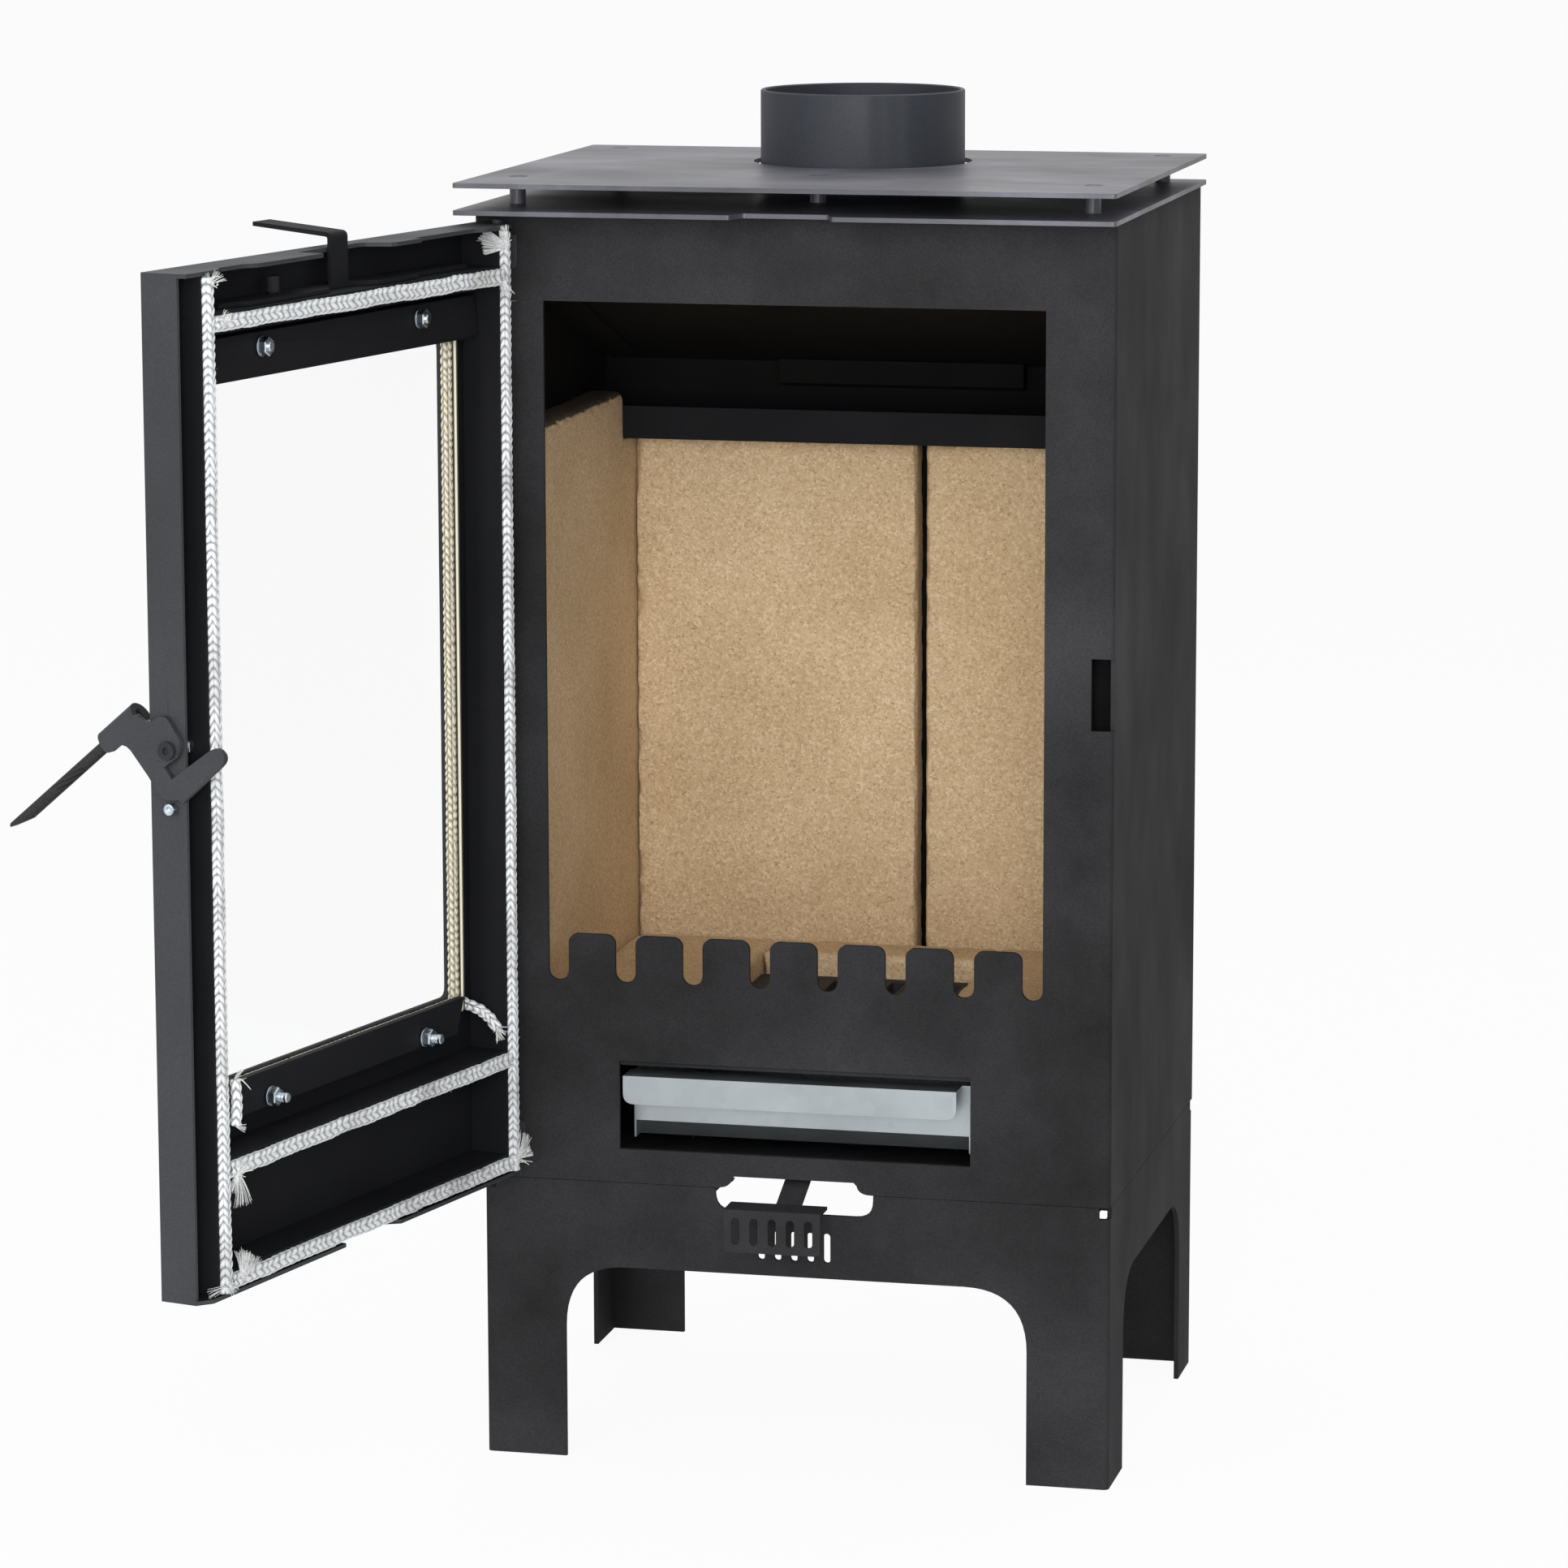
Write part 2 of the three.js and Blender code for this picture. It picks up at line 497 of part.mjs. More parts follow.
function cylinderZ(x, y, radius, z0, z1, sides = 24) {
  const geometry = new THREE.CylinderGeometry(radius, radius, z1 - z0, sides);
  return solidOf(geometry.rotateX(Math.PI / 2).translate(x, y, (z0 + z1) / 2));
}

function cylinderY(x, z, radius, y0, y1, sides = 24) {
  const geometry = new THREE.CylinderGeometry(radius, radius, y1 - y0, sides);
  return solidOf(geometry.translate(x, (y0 + y1) / 2, z));
}

function cylinderX(y, z, radius, x0, x1, sides = 24) {
  const geometry = new THREE.CylinderGeometry(radius, radius, x1 - x0, sides);
  return solidOf(geometry.rotateZ(Math.PI / 2).translate((x0 + x1) / 2, y, z));
}

function coloured(colour, roughness, metalness) {
  return () => new THREE.MeshStandardMaterial({ color: colour, roughness, metalness });
}

const paint = coloured("#3b3b3d", 0.6, 0.3);
const topPaint = coloured("#6d6d76", 0.5, 0.35);
const vermiculite = coloured("#b59a75", 0.95, 0);
const rope = coloured("#d6d8d8", 0.95, 0);
const galvanised = coloured("#b0b6ba", 0.4, 0.85);
const zinc = coloured("#b9bfc6", 0.35, 0.9);
const castIron = coloured("#2c2c2e", 0.75, 0.4);
const glazing = coloured("#cfd8d8", 0.05, 0);

// Adds a named piece to a group, its solid being made in that group's own coordinates
function place(group, name, solid, material) {
  const made = solid.getMesh();
  const stride = made.numProp;
  const positions = new Float32Array(made.numVert * 3);
  for (let i = 0; i < made.numVert; i++)
    positions.set(made.vertProperties.subarray(i * stride, i * stride + 3), i * 3);
  const geometry = new THREE.BufferGeometry();
  geometry.setAttribute("position", new THREE.BufferAttribute(positions, 3));
  geometry.setIndex(new THREE.BufferAttribute(new Uint32Array(made.triVerts), 1));
  geometry.computeVertexNormals();
  const mesh = new THREE.Mesh(geometry, material());
  mesh.name = name;
  group.add(mesh);
}

// ---- Stand -----------------------------------------------------------------------------------
// Plan of a folded wrapper: front and sides, and a rear wall when it is closed all round
function wrapperPlan(closed) {
  const outer = closed
    ? rectangle(-HALF, 0, HALF, BODY_DEPTH, BEND_RADIUS)
    : rounded([[-HALF, 0, BEND_RADIUS], [HALF, 0, BEND_RADIUS], [HALF, BODY_DEPTH], [-HALF, BODY_DEPTH]]);
  const rear = closed ? BODY_DEPTH - SHEET : BODY_DEPTH + SHEET;
  const inner = BEND_RADIUS - SHEET;
  const hollow = rounded([[-INNER_HALF, SHEET, inner], [INNER_HALF, SHEET, inner], [INNER_HALF, rear], [-INNER_HALF, rear]]);
  return { outer, hollow };
}

function archShape(u0, u1) {
  return rounded([[u0, -SHEET], [u1, -SHEET], [u1, ARCH_TOP, ARCH_RADIUS], [u0, ARCH_TOP, ARCH_RADIUS]]);
}

function stand() {
  const { outer, hollow } = wrapperPlan(true);
  const wall = cut(slabXY(outer, 0, STAND_HEIGHT), slabXY(hollow, -SHEET, STAND_HEIGHT + SHEET));
  const lipPlan = rectangle(-INNER_HALF - SHEET / 2, SHEET / 2, INNER_HALF + SHEET / 2, BODY_DEPTH - SHEET / 2);
  const lipHole = rectangle(-HALF + STAND_LIP, STAND_LIP, HALF - STAND_LIP, BODY_DEPTH - STAND_LIP);
  const lip = cut(slabXY(lipPlan, STAND_HEIGHT - SHEET, STAND_HEIGHT), slabXY(lipHole, 0, STAND_HEIGHT + SHEET));
  let skirt = join(wall, lip);
  for (const x of [-1, 1])
    for (const y of [0, BODY_DEPTH]) {
      const r = STAND_CORNER_RELIEF;
      const corner = [x * (HALF - r / 2 + 1), y ? y - r / 2 + 1 : r / 2 - 1];
      const half = r / 2 + 1;
      skirt = cut(
        skirt,
        box(corner[0] - half, corner[0] + half, corner[1] - half, corner[1] + half, STAND_HEIGHT - r, STAND_HEIGHT + 1),
      );
    }
  const across = archShape(-HALF + LEG_WIDTH, HALF - LEG_WIDTH);
  const along = archShape(LEG_DEPTH_FRONT, BODY_DEPTH - LEG_DEPTH_REAR);
  const notchTop = STAND_HEIGHT + SKIRT_NOTCH_RADIUS;
  const notchFoot = STAND_HEIGHT - SKIRT_NOTCH_DEPTH;
  const notch = rounded([
    [-SKIRT_NOTCH_HALF, notchTop],
    [-SKIRT_NOTCH_HALF, notchFoot, SKIRT_NOTCH_RADIUS],
    [SKIRT_NOTCH_HALF, notchFoot, SKIRT_NOTCH_RADIUS],
    [SKIRT_NOTCH_HALF, notchTop],
  ]);
  skirt = cut(
    skirt,
    slabXZ(across, -SHEET, BODY_DEPTH + SHEET, 12),
    slabYZ(along, -HALF - SHEET, HALF + SHEET, 12),
    slabXZ(notch, -SHEET, STAND_LIP + SHEET),
  );
  for (let i = 0; i < SKIRT_SLOT_COUNT; i++) {
    const x = (i - (SKIRT_SLOT_COUNT - 1) / 2) * SKIRT_SLOT_PITCH;
    skirt = cut(skirt, slabXZ(slot(x, SKIRT_SLOT_WIDTH, SKIRT_SLOT_BOTTOM, SKIRT_SLOT_TOP), -SHEET, 2 * SHEET, 5));
  }
  return skirt;
}

// ---- Casing ----------------------------------------------------------------------------------
// The firebox mouth: a rectangle whose foot is a row of teeth with rounded gaps between them
function mouthShape() {
  const gap = (2 * MOUTH_HALF_WIDTH - TOOTH_COUNT * TOOTH_WIDTH) / (TOOTH_COUNT + 1);
  const r = gap / 2;
  const c = TOOTH_CORNER;
  const shape = new THREE.Shape();
  let x = -MOUTH_HALF_WIDTH;
  shape.moveTo(x, MOUTH_TOP);
  for (let i = 0; i <= TOOTH_COUNT; i++) {
    if (i) {
      shape.lineTo(x - TOOTH_WIDTH + c, TOOTH_TOP);
      shape.lineTo(x - c, TOOTH_TOP);
      shape.absarc(x - c, TOOTH_TOP - c, c, Math.PI / 2, 0, true);
    }
    shape.lineTo(x, TOOTH_ROOT + r);
    shape.absarc(x + r, TOOTH_ROOT + r, r, Math.PI, 2 * Math.PI, false);
    x += gap;
    if (i < TOOTH_COUNT) {
      shape.lineTo(x, TOOTH_TOP - c);
      shape.absarc(x + c, TOOTH_TOP - c, c, Math.PI, Math.PI / 2, true);
    }
    x += TOOTH_WIDTH;
  }
  shape.lineTo(MOUTH_HALF_WIDTH, MOUTH_TOP);
  shape.closePath();
  return shape;
}

// Notch in the casing's lower front edge, flaring out to meet the notch in the skirt
function sliderNotchShape() {
  const z = BODY_BOTTOM;
  const flare = NOTCH_FLARE;
  const shape = new THREE.Shape();
  shape.moveTo(-NOTCH_HALF_WIDTH - flare, z - 1);
  shape.lineTo(-NOTCH_HALF_WIDTH - flare, z);
  shape.quadraticCurveTo(-NOTCH_HALF_WIDTH - 1, z, -NOTCH_HALF_WIDTH, z + NOTCH_HEIGHT - NOTCH_CORNER);
  shape.lineTo(-NOTCH_HALF_WIDTH + NOTCH_CORNER, z + NOTCH_HEIGHT);
  shape.lineTo(NOTCH_HALF_WIDTH - NOTCH_CORNER, z + NOTCH_HEIGHT);
  shape.lineTo(NOTCH_HALF_WIDTH, z + NOTCH_HEIGHT - NOTCH_CORNER);
  shape.quadraticCurveTo(NOTCH_HALF_WIDTH + 1, z, NOTCH_HALF_WIDTH + flare, z);
  shape.lineTo(NOTCH_HALF_WIDTH + flare, z - 1);
  shape.closePath();
  return shape;
}

// The edges folded in round the front and sides, left short at the corners
function foldedLip(z) {
  const front = box(-HALF + LIP_RELIEF, HALF - LIP_RELIEF, SHEET / 2, LIP_WIDTH, z, z + SHEET);
  const rearEnd = BACK_FACE_Y - CLEAR;
  const left = box(-HALF + SHEET / 2, -HALF + LIP_WIDTH, LIP_RELIEF, rearEnd, z, z + SHEET);
  const right = box(HALF - LIP_WIDTH, HALF - SHEET / 2, LIP_RELIEF, rearEnd, z, z + SHEET);
  return [front, left, right];
}

function casing() {
  const { outer, hollow } = wrapperPlan(false);
  const wall = cut(slabXY(outer, BODY_BOTTOM, BODY_TOP), slabXY(hollow, BODY_BOTTOM - 1, BODY_TOP + 1));
  const folded = join(wall, ...foldedLip(BODY_BOTTOM), ...foldedLip(BODY_TOP - SHEET));
  const ash = rectangle(-ASH_HALF_WIDTH, ASH_MOUTH_BOTTOM, ASH_HALF_WIDTH, ASH_MOUTH_TOP);
  return cut(
    folded,
    slabXZ(mouthShape(), -SHEET, 2 * SHEET, 5),
    slabXZ(ash, -SHEET, 2 * SHEET),
    slabXZ(sliderNotchShape(), -SHEET, LIP_WIDTH + SHEET),
    box(HALF - SLOT_WIDTH, HALF + 1, -1, SHEET + SLOT_WRAP, SLOT_BOTTOM, SLOT_TOP),
    cylinderY(SCREW_X, UPPER_SCREW_Z, SCREW_RADIUS + CLEAR, -1, SHEET + 1, 16),
    cylinderY(SCREW_X, LOWER_SCREW_Z, SCREW_RADIUS + CLEAR, -1, SHEET + 1, 16),
  );
}

function backPanel() {
  const x = INNER_HALF - CLEAR;
  return box(-x, x, BACK_FACE_Y, BACK_FACE_Y + SHEET, BODY_BOTTOM, BODY_TOP);
}

// ---- Top plates and flue -----------------------------------------------------------------------
function topPlate(z, gate) {
  const side = HALF + PLATE_SIDE_OVERHANG;
  const front = -PLATE_FRONT_OVERHANG;
  const c = PLATE_CORNER;
  const outline = [[-side, front, c]];
  if (gate) {
    const back = front + LEVER_GATE_DEPTH;
    const r = LEVER_GATE_CORNER;
    outline.push([-LEVER_GATE_FRONT_HALF, front, r], [-LEVER_GATE_BACK_HALF, back, r]);
    outline.push([LEVER_GATE_BACK_HALF, back, r], [LEVER_GATE_FRONT_HALF, front, r]);
  }
  outline.push([side, front, c], [side, PLATE_REAR_Y, c], [-side, PLATE_REAR_Y, c]);
  return slabXY(rounded(outline), z, z + PLATE, 3);
}

function lowerTopPlate() {
  const z = LOWER_PLATE_Z;
  const hole = cylinderZ(0, FLUE_Y, FLUE_RADIUS + CLEAR, z - 1, z + PLATE + 1, 64);
  const spacerTop = UPPER_PLATE_Z - CLEAR;
  const spots = [[0, SPACER_MIDDLE_Y]];
  for (const x of [-SPACER_X, SPACER_X]) spots.push([x, SPACER_FRONT_Y], [x, SPACER_REAR_Y]);
  const spacers = spots.map(([x, y]) => cylinderZ(x, y, SPACER_RADIUS, z + PLATE / 2, spacerTop, 20));
  return join(cut(topPlate(z, true), hole), ...spacers);
}

function upperTopPlate() {
  const z = UPPER_PLATE_Z;
  const hole = cylinderZ(0, FLUE_Y, FLUE_RADIUS + FLUE_SHADOW_GAP, z - 1, z + PLATE + 1, 64);
  return cut(topPlate(z, false), hole);
}

function flueCollar() {
  const foot = LOWER_PLATE_Z - SHEET;
  const top = foot + FLUE_HEIGHT;
  const bore = FLUE_RADIUS - FLUE_WALL;
  const profile = [[bore, foot], [FLUE_RADIUS, foot], [FLUE_RADIUS, top], [bore, top]];
  const ring = [...profile, profile[0]].map(([r, z]) => new THREE.Vector2(r, z));
  return solidOf(new THREE.LatheGeometry(ring, 64).rotateX(Math.PI / 2).translate(0, FLUE_Y, 0));
}

// ---- Hearth, grate and linings -----------------------------------------------------------------
function hearthSheet() {
  const x = INNER_HALF - CLEAR;
  const sheet = box(-x, x, SHEET + CLEAR, BACK_FACE_Y - CLEAR, HEARTH_HEIGHT, HEARTH_TOP);
  const hole = rectangle(
    -GRATE_HALF_WIDTH + HEARTH_LEDGE,
    GRATE_FRONT_Y + HEARTH_LEDGE,
    GRATE_HALF_WIDTH - HEARTH_LEDGE,
    GRATE_REAR_Y - HEARTH_LEDGE,
  );
  return cut(sheet, slabXY(hole, HEARTH_HEIGHT - 1, HEARTH_TOP + 1));
}

function grate() {
  const z = BRICK_BOTTOM;
  const outline = rectangle(-GRATE_HALF_WIDTH, GRATE_FRONT_Y, GRATE_HALF_WIDTH, GRATE_REAR_Y, GRATE_CORNER);
  let plate = slabXY(outline, z, z + GRATE_THICKNESS, 3);
  const pitch = GRATE_SLOT + GRATE_BAR;
  const count = Math.floor((2 * (GRATE_HALF_WIDTH - GRATE_RIM) + GRATE_BAR) / pitch);
  const middleY = (GRATE_FRONT_Y + GRATE_REAR_Y) / 2;
  for (let i = 0; i < count; i++) {
    const x = (i - (count - 1) / 2) * pitch;
    for (const [y0, y1] of [[GRATE_FRONT_Y + GRATE_RIM, middleY - GRATE_BAR / 2], [middleY + GRATE_BAR / 2, GRATE_REAR_Y - GRATE_RIM]])
      plate = cut(plate, slabXY(slot(x, GRATE_SLOT, y0, y1), z - 1, z + GRATE_THICKNESS + 1, 5));
  }
  return plate;
}

// A side board: its top rear corner is stepped to take the end of the brick retainer, and the right one has a
// pocket at its front edge for the latch's hook
function sideBrick(side) {
  const front = SHEET + CLEAR;
  const step = RETAINER_FRONT_Y - CLEAR;
  const shape = polygon([
    [front, BRICK_BOTTOM],
    [BACK_BRICK_REAR, BRICK_BOTTOM],
    [BACK_BRICK_REAR, BACK_BRICK_TOP],
    [step, BACK_BRICK_TOP],
    [step, SIDE_BRICK_TOP],
    [front, SIDE_BRICK_TOP],
  ]);
  const [x0, x1] = side < 0 ? [-SIDE_BRICK_OUTER, -SIDE_BRICK_FACE] : [SIDE_BRICK_FACE, SIDE_BRICK_OUTER];
  const board = slabYZ(shape, x0, x1);
  if (side < 0) return board;
  const pocketX = HALF - SLOT_WIDTH - 2;
  const pocketY = HINGE_Y + LATCH_PIVOT_B + POCKET_REACH;
  return cut(board, box(pocketX, x1 + 1, 0, pocketY, SLOT_BOTTOM - 3, LATCH_PIVOT_Z + POCKET_REACH / 2));
}

function backBrick(x0, x1) {
  return box(x0, x1, BACK_BRICK_FACE, BACK_BRICK_REAR, BRICK_BOTTOM, BACK_BRICK_TOP);
}

function hearthBrick(x0, x1, y0, y1) {
  return box(x0, x1, y0, y1, BRICK_BOTTOM, HEARTH_BRICK_TOP);
}

// ---- Smoke path --------------------------------------------------------------------------------
function brickRetainer() {
  const x = INNER_HALF - CLEAR;
  const z = BACK_BRICK_TOP + CLEAR;
  const y = RETAINER_FRONT_Y;
  const shape = polygon([
    [y, z],
    [BACK_BRICK_REAR, z],
    [BACK_BRICK_REAR, z + SHEET],
    [y + SHEET, z + SHEET],
    [y + SHEET, z + RETAINER_LIP],
    [y, z + RETAINER_LIP],
  ]);
  return slabYZ(shape, -x, x);
}

function airHood() {
  const wallY = BACK_FACE_Y - CLEAR;
  const front = wallY - HOOD_DEPTH;
  const z = HOOD_BOTTOM;
  const top = z + HOOD_HEIGHT;
  const foot = z + HOOD_FOOT_SLOPE;
  const outline = polygon([[front, foot], [wallY, z], [wallY, top - HOOD_TOP_SLOPE], [front, top]]);
  const [left, right] = [HOOD_SHIFT - HOOD_HALF_WIDTH, HOOD_SHIFT + HOOD_HALF_WIDTH];
  const shell = slabYZ(outline, left, right);
  const [x0, y1, z1] = [front + HOOD_SHEET, wallY + 1, top + 1];
  const inside = slabYZ(
    polygon([[x0, foot + HOOD_SHEET], [y1, z + HOOD_SHEET], [y1, z1], [x0, z1]]),
    left + HOOD_SHEET,
    right - HOOD_SHEET,
  );
  return cut(shell, inside);
}

// Height of the baffle's underside at a depth
function baffleZ(y) {
  return BAFFLE_REAR_Z + (BACK_FACE_Y - y) * Math.tan(BAFFLE_SLOPE * RAD);
}

function slopedSlab(x0, x1, y0, y1, drop, thickness) {
  const steep = thickness / Math.cos(BAFFLE_SLOPE * RAD);
  const low = (y) => baffleZ(y) - drop;
  return slabYZ(polygon([[y0, low(y0)], [y1, low(y1)], [y1, low(y1) + steep], [y0, low(y0) + steep]]), x0, x1);
}

function baffle() {
  const x = INNER_HALF - BAFFLE_SIDE_GAP;
  return slopedSlab(-x, x, BAFFLE_FRONT_Y, BACK_FACE_Y - CLEAR, 0, BAFFLE_THICKNESS);
}

function baffleRail(side) {
  const steep = SHEET / Math.cos(BAFFLE_SLOPE * RAD);
  const outer = INNER_HALF - CLEAR;
  const inner = outer - RAIL_WIDTH;
  const [x0, x1] = side < 0 ? [-outer, -inner] : [inner, outer];
  return slopedSlab(x0, x1, BAFFLE_FRONT_Y + RAIL_WIDTH, BACK_FACE_Y - RAIL_WIDTH, steep + CLEAR, SHEET);
}

// ---- Ash compartment ---------------------------------------------------------------------------
// The ash floor: a shallow tray turned over, cut back at the front for the slider
function ashFloor() {
  const x = INNER_HALF - CLEAR;
  const y0 = SHEET + CLEAR;
  const y1 = BACK_FACE_Y - CLEAR;
  const shell = box(-x, x, y0, y1, ASH_FLOOR_Z, ASH_FLOOR_TOP);
  const under = box(-x + SHEET, x - SHEET, y0 + SHEET, y1 - SHEET, ASH_FLOOR_Z - 1, ASH_FLOOR_TOP - SHEET);
  const mouth = box(-NOTCH_HALF_WIDTH, NOTCH_HALF_WIDTH, y0 - 1, y0 + SHEET + 1, ASH_FLOOR_Z - 1, ASH_FLOOR_TOP - SHEET);
  const holes = [-1, 1].map((s) => cylinderZ(s * AIR_HOLE_X, AIR_HOLE_Y, AIR_HOLE_RADIUS, ASH_FLOOR_Z, ASH_FLOOR_TOP + 1, 32));
  const guides = [-1, 1].map((s) => {
    const inner = DAMPER_HALF_WIDTH - GUIDE_LEDGE;
    const near = DAMPER_HALF_WIDTH + CLEAR;
    const far = near + GUIDE_SHEET;
    const web = s < 0 ? [-far, -near] : [near, far];
    const foot = s < 0 ? [-far, -inner] : [inner, far];
    const low = DAMPER_Z - CLEAR - GUIDE_LIP;
    return join(
      box(...web, DAMPER_FRONT_Y, DAMPER_REAR_Y, low, ASH_FLOOR_TOP - SHEET / 2),
      box(...foot, DAMPER_FRONT_Y, DAMPER_REAR_Y, low, DAMPER_Z - CLEAR),
    );
  });
  return join(cut(shell, under, mouth, ...holes), ...guides);
}

function ashRunner(side) {
  const x = side * RUNNER_X;
  const half = RUNNER_WIDTH / 2;
  const top = PAN_BOTTOM - CLEAR;
  const foot = ASH_FLOOR_TOP + CLEAR;
  const y0 = LIP_WIDTH + RUNNER_FRONT_GAP;
  const [web0, web1] = side < 0 ? [x - half, x - half + RUNNER_SHEET] : [x + half - RUNNER_SHEET, x + half];
  return join(
    box(x - half, x + half, y0, PAN_REAR_Y, top - RUNNER_SHEET, top),
    box(web0, web1, y0, PAN_REAR_Y, foot, top),
  );
}

// Galvanised ash pan: full sides, a front that slopes in at its foot, and a lip folded over to pull it by
function ashPan() {
  const t = PAN_SHEET;
  const c = PAN_CHAMFER;
  const tub = polygon([
    [PAN_FRONT_Y + c, PAN_BOTTOM],
    [PAN_REAR_Y, PAN_BOTTOM],
    [PAN_REAR_Y, PAN_TOP],
    [PAN_FRONT_Y, PAN_TOP],
    [PAN_FRONT_Y, PAN_BOTTOM + c],
  ]);
  const inside = polygon([
    [PAN_FRONT_Y + c + t / 2, PAN_BOTTOM + t],
    [PAN_REAR_Y - t, PAN_BOTTOM + t],
    [PAN_REAR_Y - t, PAN_TOP + 1],
    [PAN_FRONT_Y + t, PAN_TOP + 1],
    [PAN_FRONT_Y + t, PAN_BOTTOM + c + t / 2],
  ]);
  const w = PAN_HALF_WIDTH;
  const body = cut(slabYZ(tub, -w, w), slabYZ(inside, -w + t, w - t));
  const cheek = (x0) => box(x0, x0 + t, PAN_FRONT_Y, PAN_FRONT_Y + 2 * c, PAN_BOTTOM, PAN_BOTTOM + 2 * c);
  const lipY = PAN_FRONT_Y - PAN_LIP_FORWARD;
  const ledge = box(PAN_LIP_LEFT, PAN_LIP_RIGHT, lipY, PAN_FRONT_Y + t, PAN_TOP - t, PAN_TOP);
  const drop = rounded([
    [PAN_LIP_LEFT, PAN_TOP],
    [PAN_LIP_LEFT, PAN_TOP - PAN_LIP_DROP, PAN_LIP_CORNER],
    [PAN_LIP_RIGHT, PAN_TOP - PAN_LIP_DROP, PAN_LIP_CORNER],
    [PAN_LIP_RIGHT, PAN_TOP],
  ]);
  return join(body, cheek(-w), cheek(w - t), ledge, slabXZ(drop, lipY, lipY + t));
}

// Primary-air slider, cut and folded from one sheet
function airSlider() {
  const t = SLIDER_SHEET;
  const z = DAMPER_Z;
  const half = SLIDER_BAR / 2;
  const plan = rounded([
    [-half, SLOPE_START_Y],
    [half, SLOPE_START_Y],
    [half, DAMPER_FRONT_Y, BAR_CORNER],
    [DAMPER_HALF_WIDTH, DAMPER_FRONT_Y, DAMPER_CORNER],
    [DAMPER_HALF_WIDTH, DAMPER_REAR_Y, DAMPER_CORNER],
    [-DAMPER_HALF_WIDTH, DAMPER_REAR_Y, DAMPER_CORNER],
    [-DAMPER_HALF_WIDTH, DAMPER_FRONT_Y, DAMPER_CORNER],
    [-half, DAMPER_FRONT_Y, BAR_CORNER],
  ]);
  const holeY = AIR_HOLE_Y + AIR_HOLE_RADIUS * 2.2;
  const holes = [-1, 1].map((s) => cylinderZ(s * AIR_HOLE_X, holeY, AIR_HOLE_RADIUS, z - 1, z + t + 1, 32));
  const damper = cut(slabXY(plan, z, z + t, 4), ...holes);
  const slope = polygon([
    [SLOPE_START_Y + 0.5, z],
    [SLOPE_START_Y + 0.5, z + t],
    [SLOPE_START_Y, z + t],
    [SLOPE_END_Y, TAG_TOP],
    [TAG_FRONT_Y, TAG_TOP],
    [TAG_FRONT_Y, TAG_TOP - t],
    [SLOPE_END_Y, TAG_TOP - t],
    [SLOPE_START_Y, z],
  ]);
  const right = TAG_LEFT_X + TAG_WIDTH;
  const shelf = box(TAG_LEFT_X, right, TAG_FRONT_Y, SLOPE_END_Y, TAG_TOP - t, TAG_TOP);
  const foot = TAG_TOP - TAG_HEIGHT;
  let tag = slabXZ(
    rounded([[TAG_LEFT_X, TAG_TOP], [TAG_LEFT_X, foot, TAG_CORNER], [right, foot, TAG_CORNER], [right, TAG_TOP]]),
    TAG_FRONT_Y,
    TAG_FRONT_Y + t,
  );
  const room = TAG_WIDTH - 2 * TAG_BORDER - TAG_SLOT_WIDTH;
  for (let i = 0; i < TAG_SLOT_COUNT; i++) {
    const x = TAG_LEFT_X + TAG_BORDER + TAG_SLOT_WIDTH / 2 + (room * i) / (TAG_SLOT_COUNT - 1);
    const shape = slot(x, TAG_SLOT_WIDTH, foot + TAG_BORDER, TAG_TOP - TAG_BORDER);
    tag = cut(tag, slabXZ(shape, TAG_FRONT_Y - 1, TAG_FRONT_Y + t + 1, 5));
  }
  return join(damper, slabYZ(slope, -half, half), shelf, tag);
}

// ---- Hinges ------------------------------------------------------------------------------------
// An angle: a plate screwed to the front and a lug that carries the pin. up is 1 when the lug is at the plate's top.
function hingeBracket(lugZ, up) {
  const t = BRACKET_SHEET;
  const y1 = -CLEAR;
  const y0 = y1 - t;
  const z1 = up > 0 ? lugZ + t : lugZ + BRACKET_HEIGHT;
  const z0 = up > 0 ? z1 - BRACKET_HEIGHT : lugZ;
  const c = BRACKET_CORNER;
  const low = up > 0 ? c : 0;
  const high = up > 0 ? 0 : c;
  const plate = slabXZ(
    rounded([
      [BRACKET_LEFT_X, z0, low],
      [BRACKET_RIGHT_X, z0, low],
      [BRACKET_RIGHT_X, z1, high],
      [BRACKET_LEFT_X, z1, high],
    ]),
    y0,
    y1,
  );
  const half = LUG_HALF_WIDTH;
  const lug = new THREE.Shape();
  lug.moveTo(HINGE_X + half, y1 - t / 2);
  lug.lineTo(HINGE_X - half, y1 - t / 2);
  lug.lineTo(HINGE_X - half, HINGE_Y);
  lug.absarc(HINGE_X, HINGE_Y, half, Math.PI, 2 * Math.PI, false);
  lug.closePath();
  const screwZ = up > 0 ? UPPER_SCREW_Z : LOWER_SCREW_Z;
  return cut(
    join(plate, slabXY(lug, lugZ, lugZ + t)),
    cylinderZ(HINGE_X, HINGE_Y, PIN_RADIUS + PIN_PLAY, lugZ - 1, lugZ + t + 1, 20),
    cylinderY(SCREW_X, screwZ, SCREW_RADIUS + CLEAR, y0 - 1, y1 + 1, 16),
  );
}

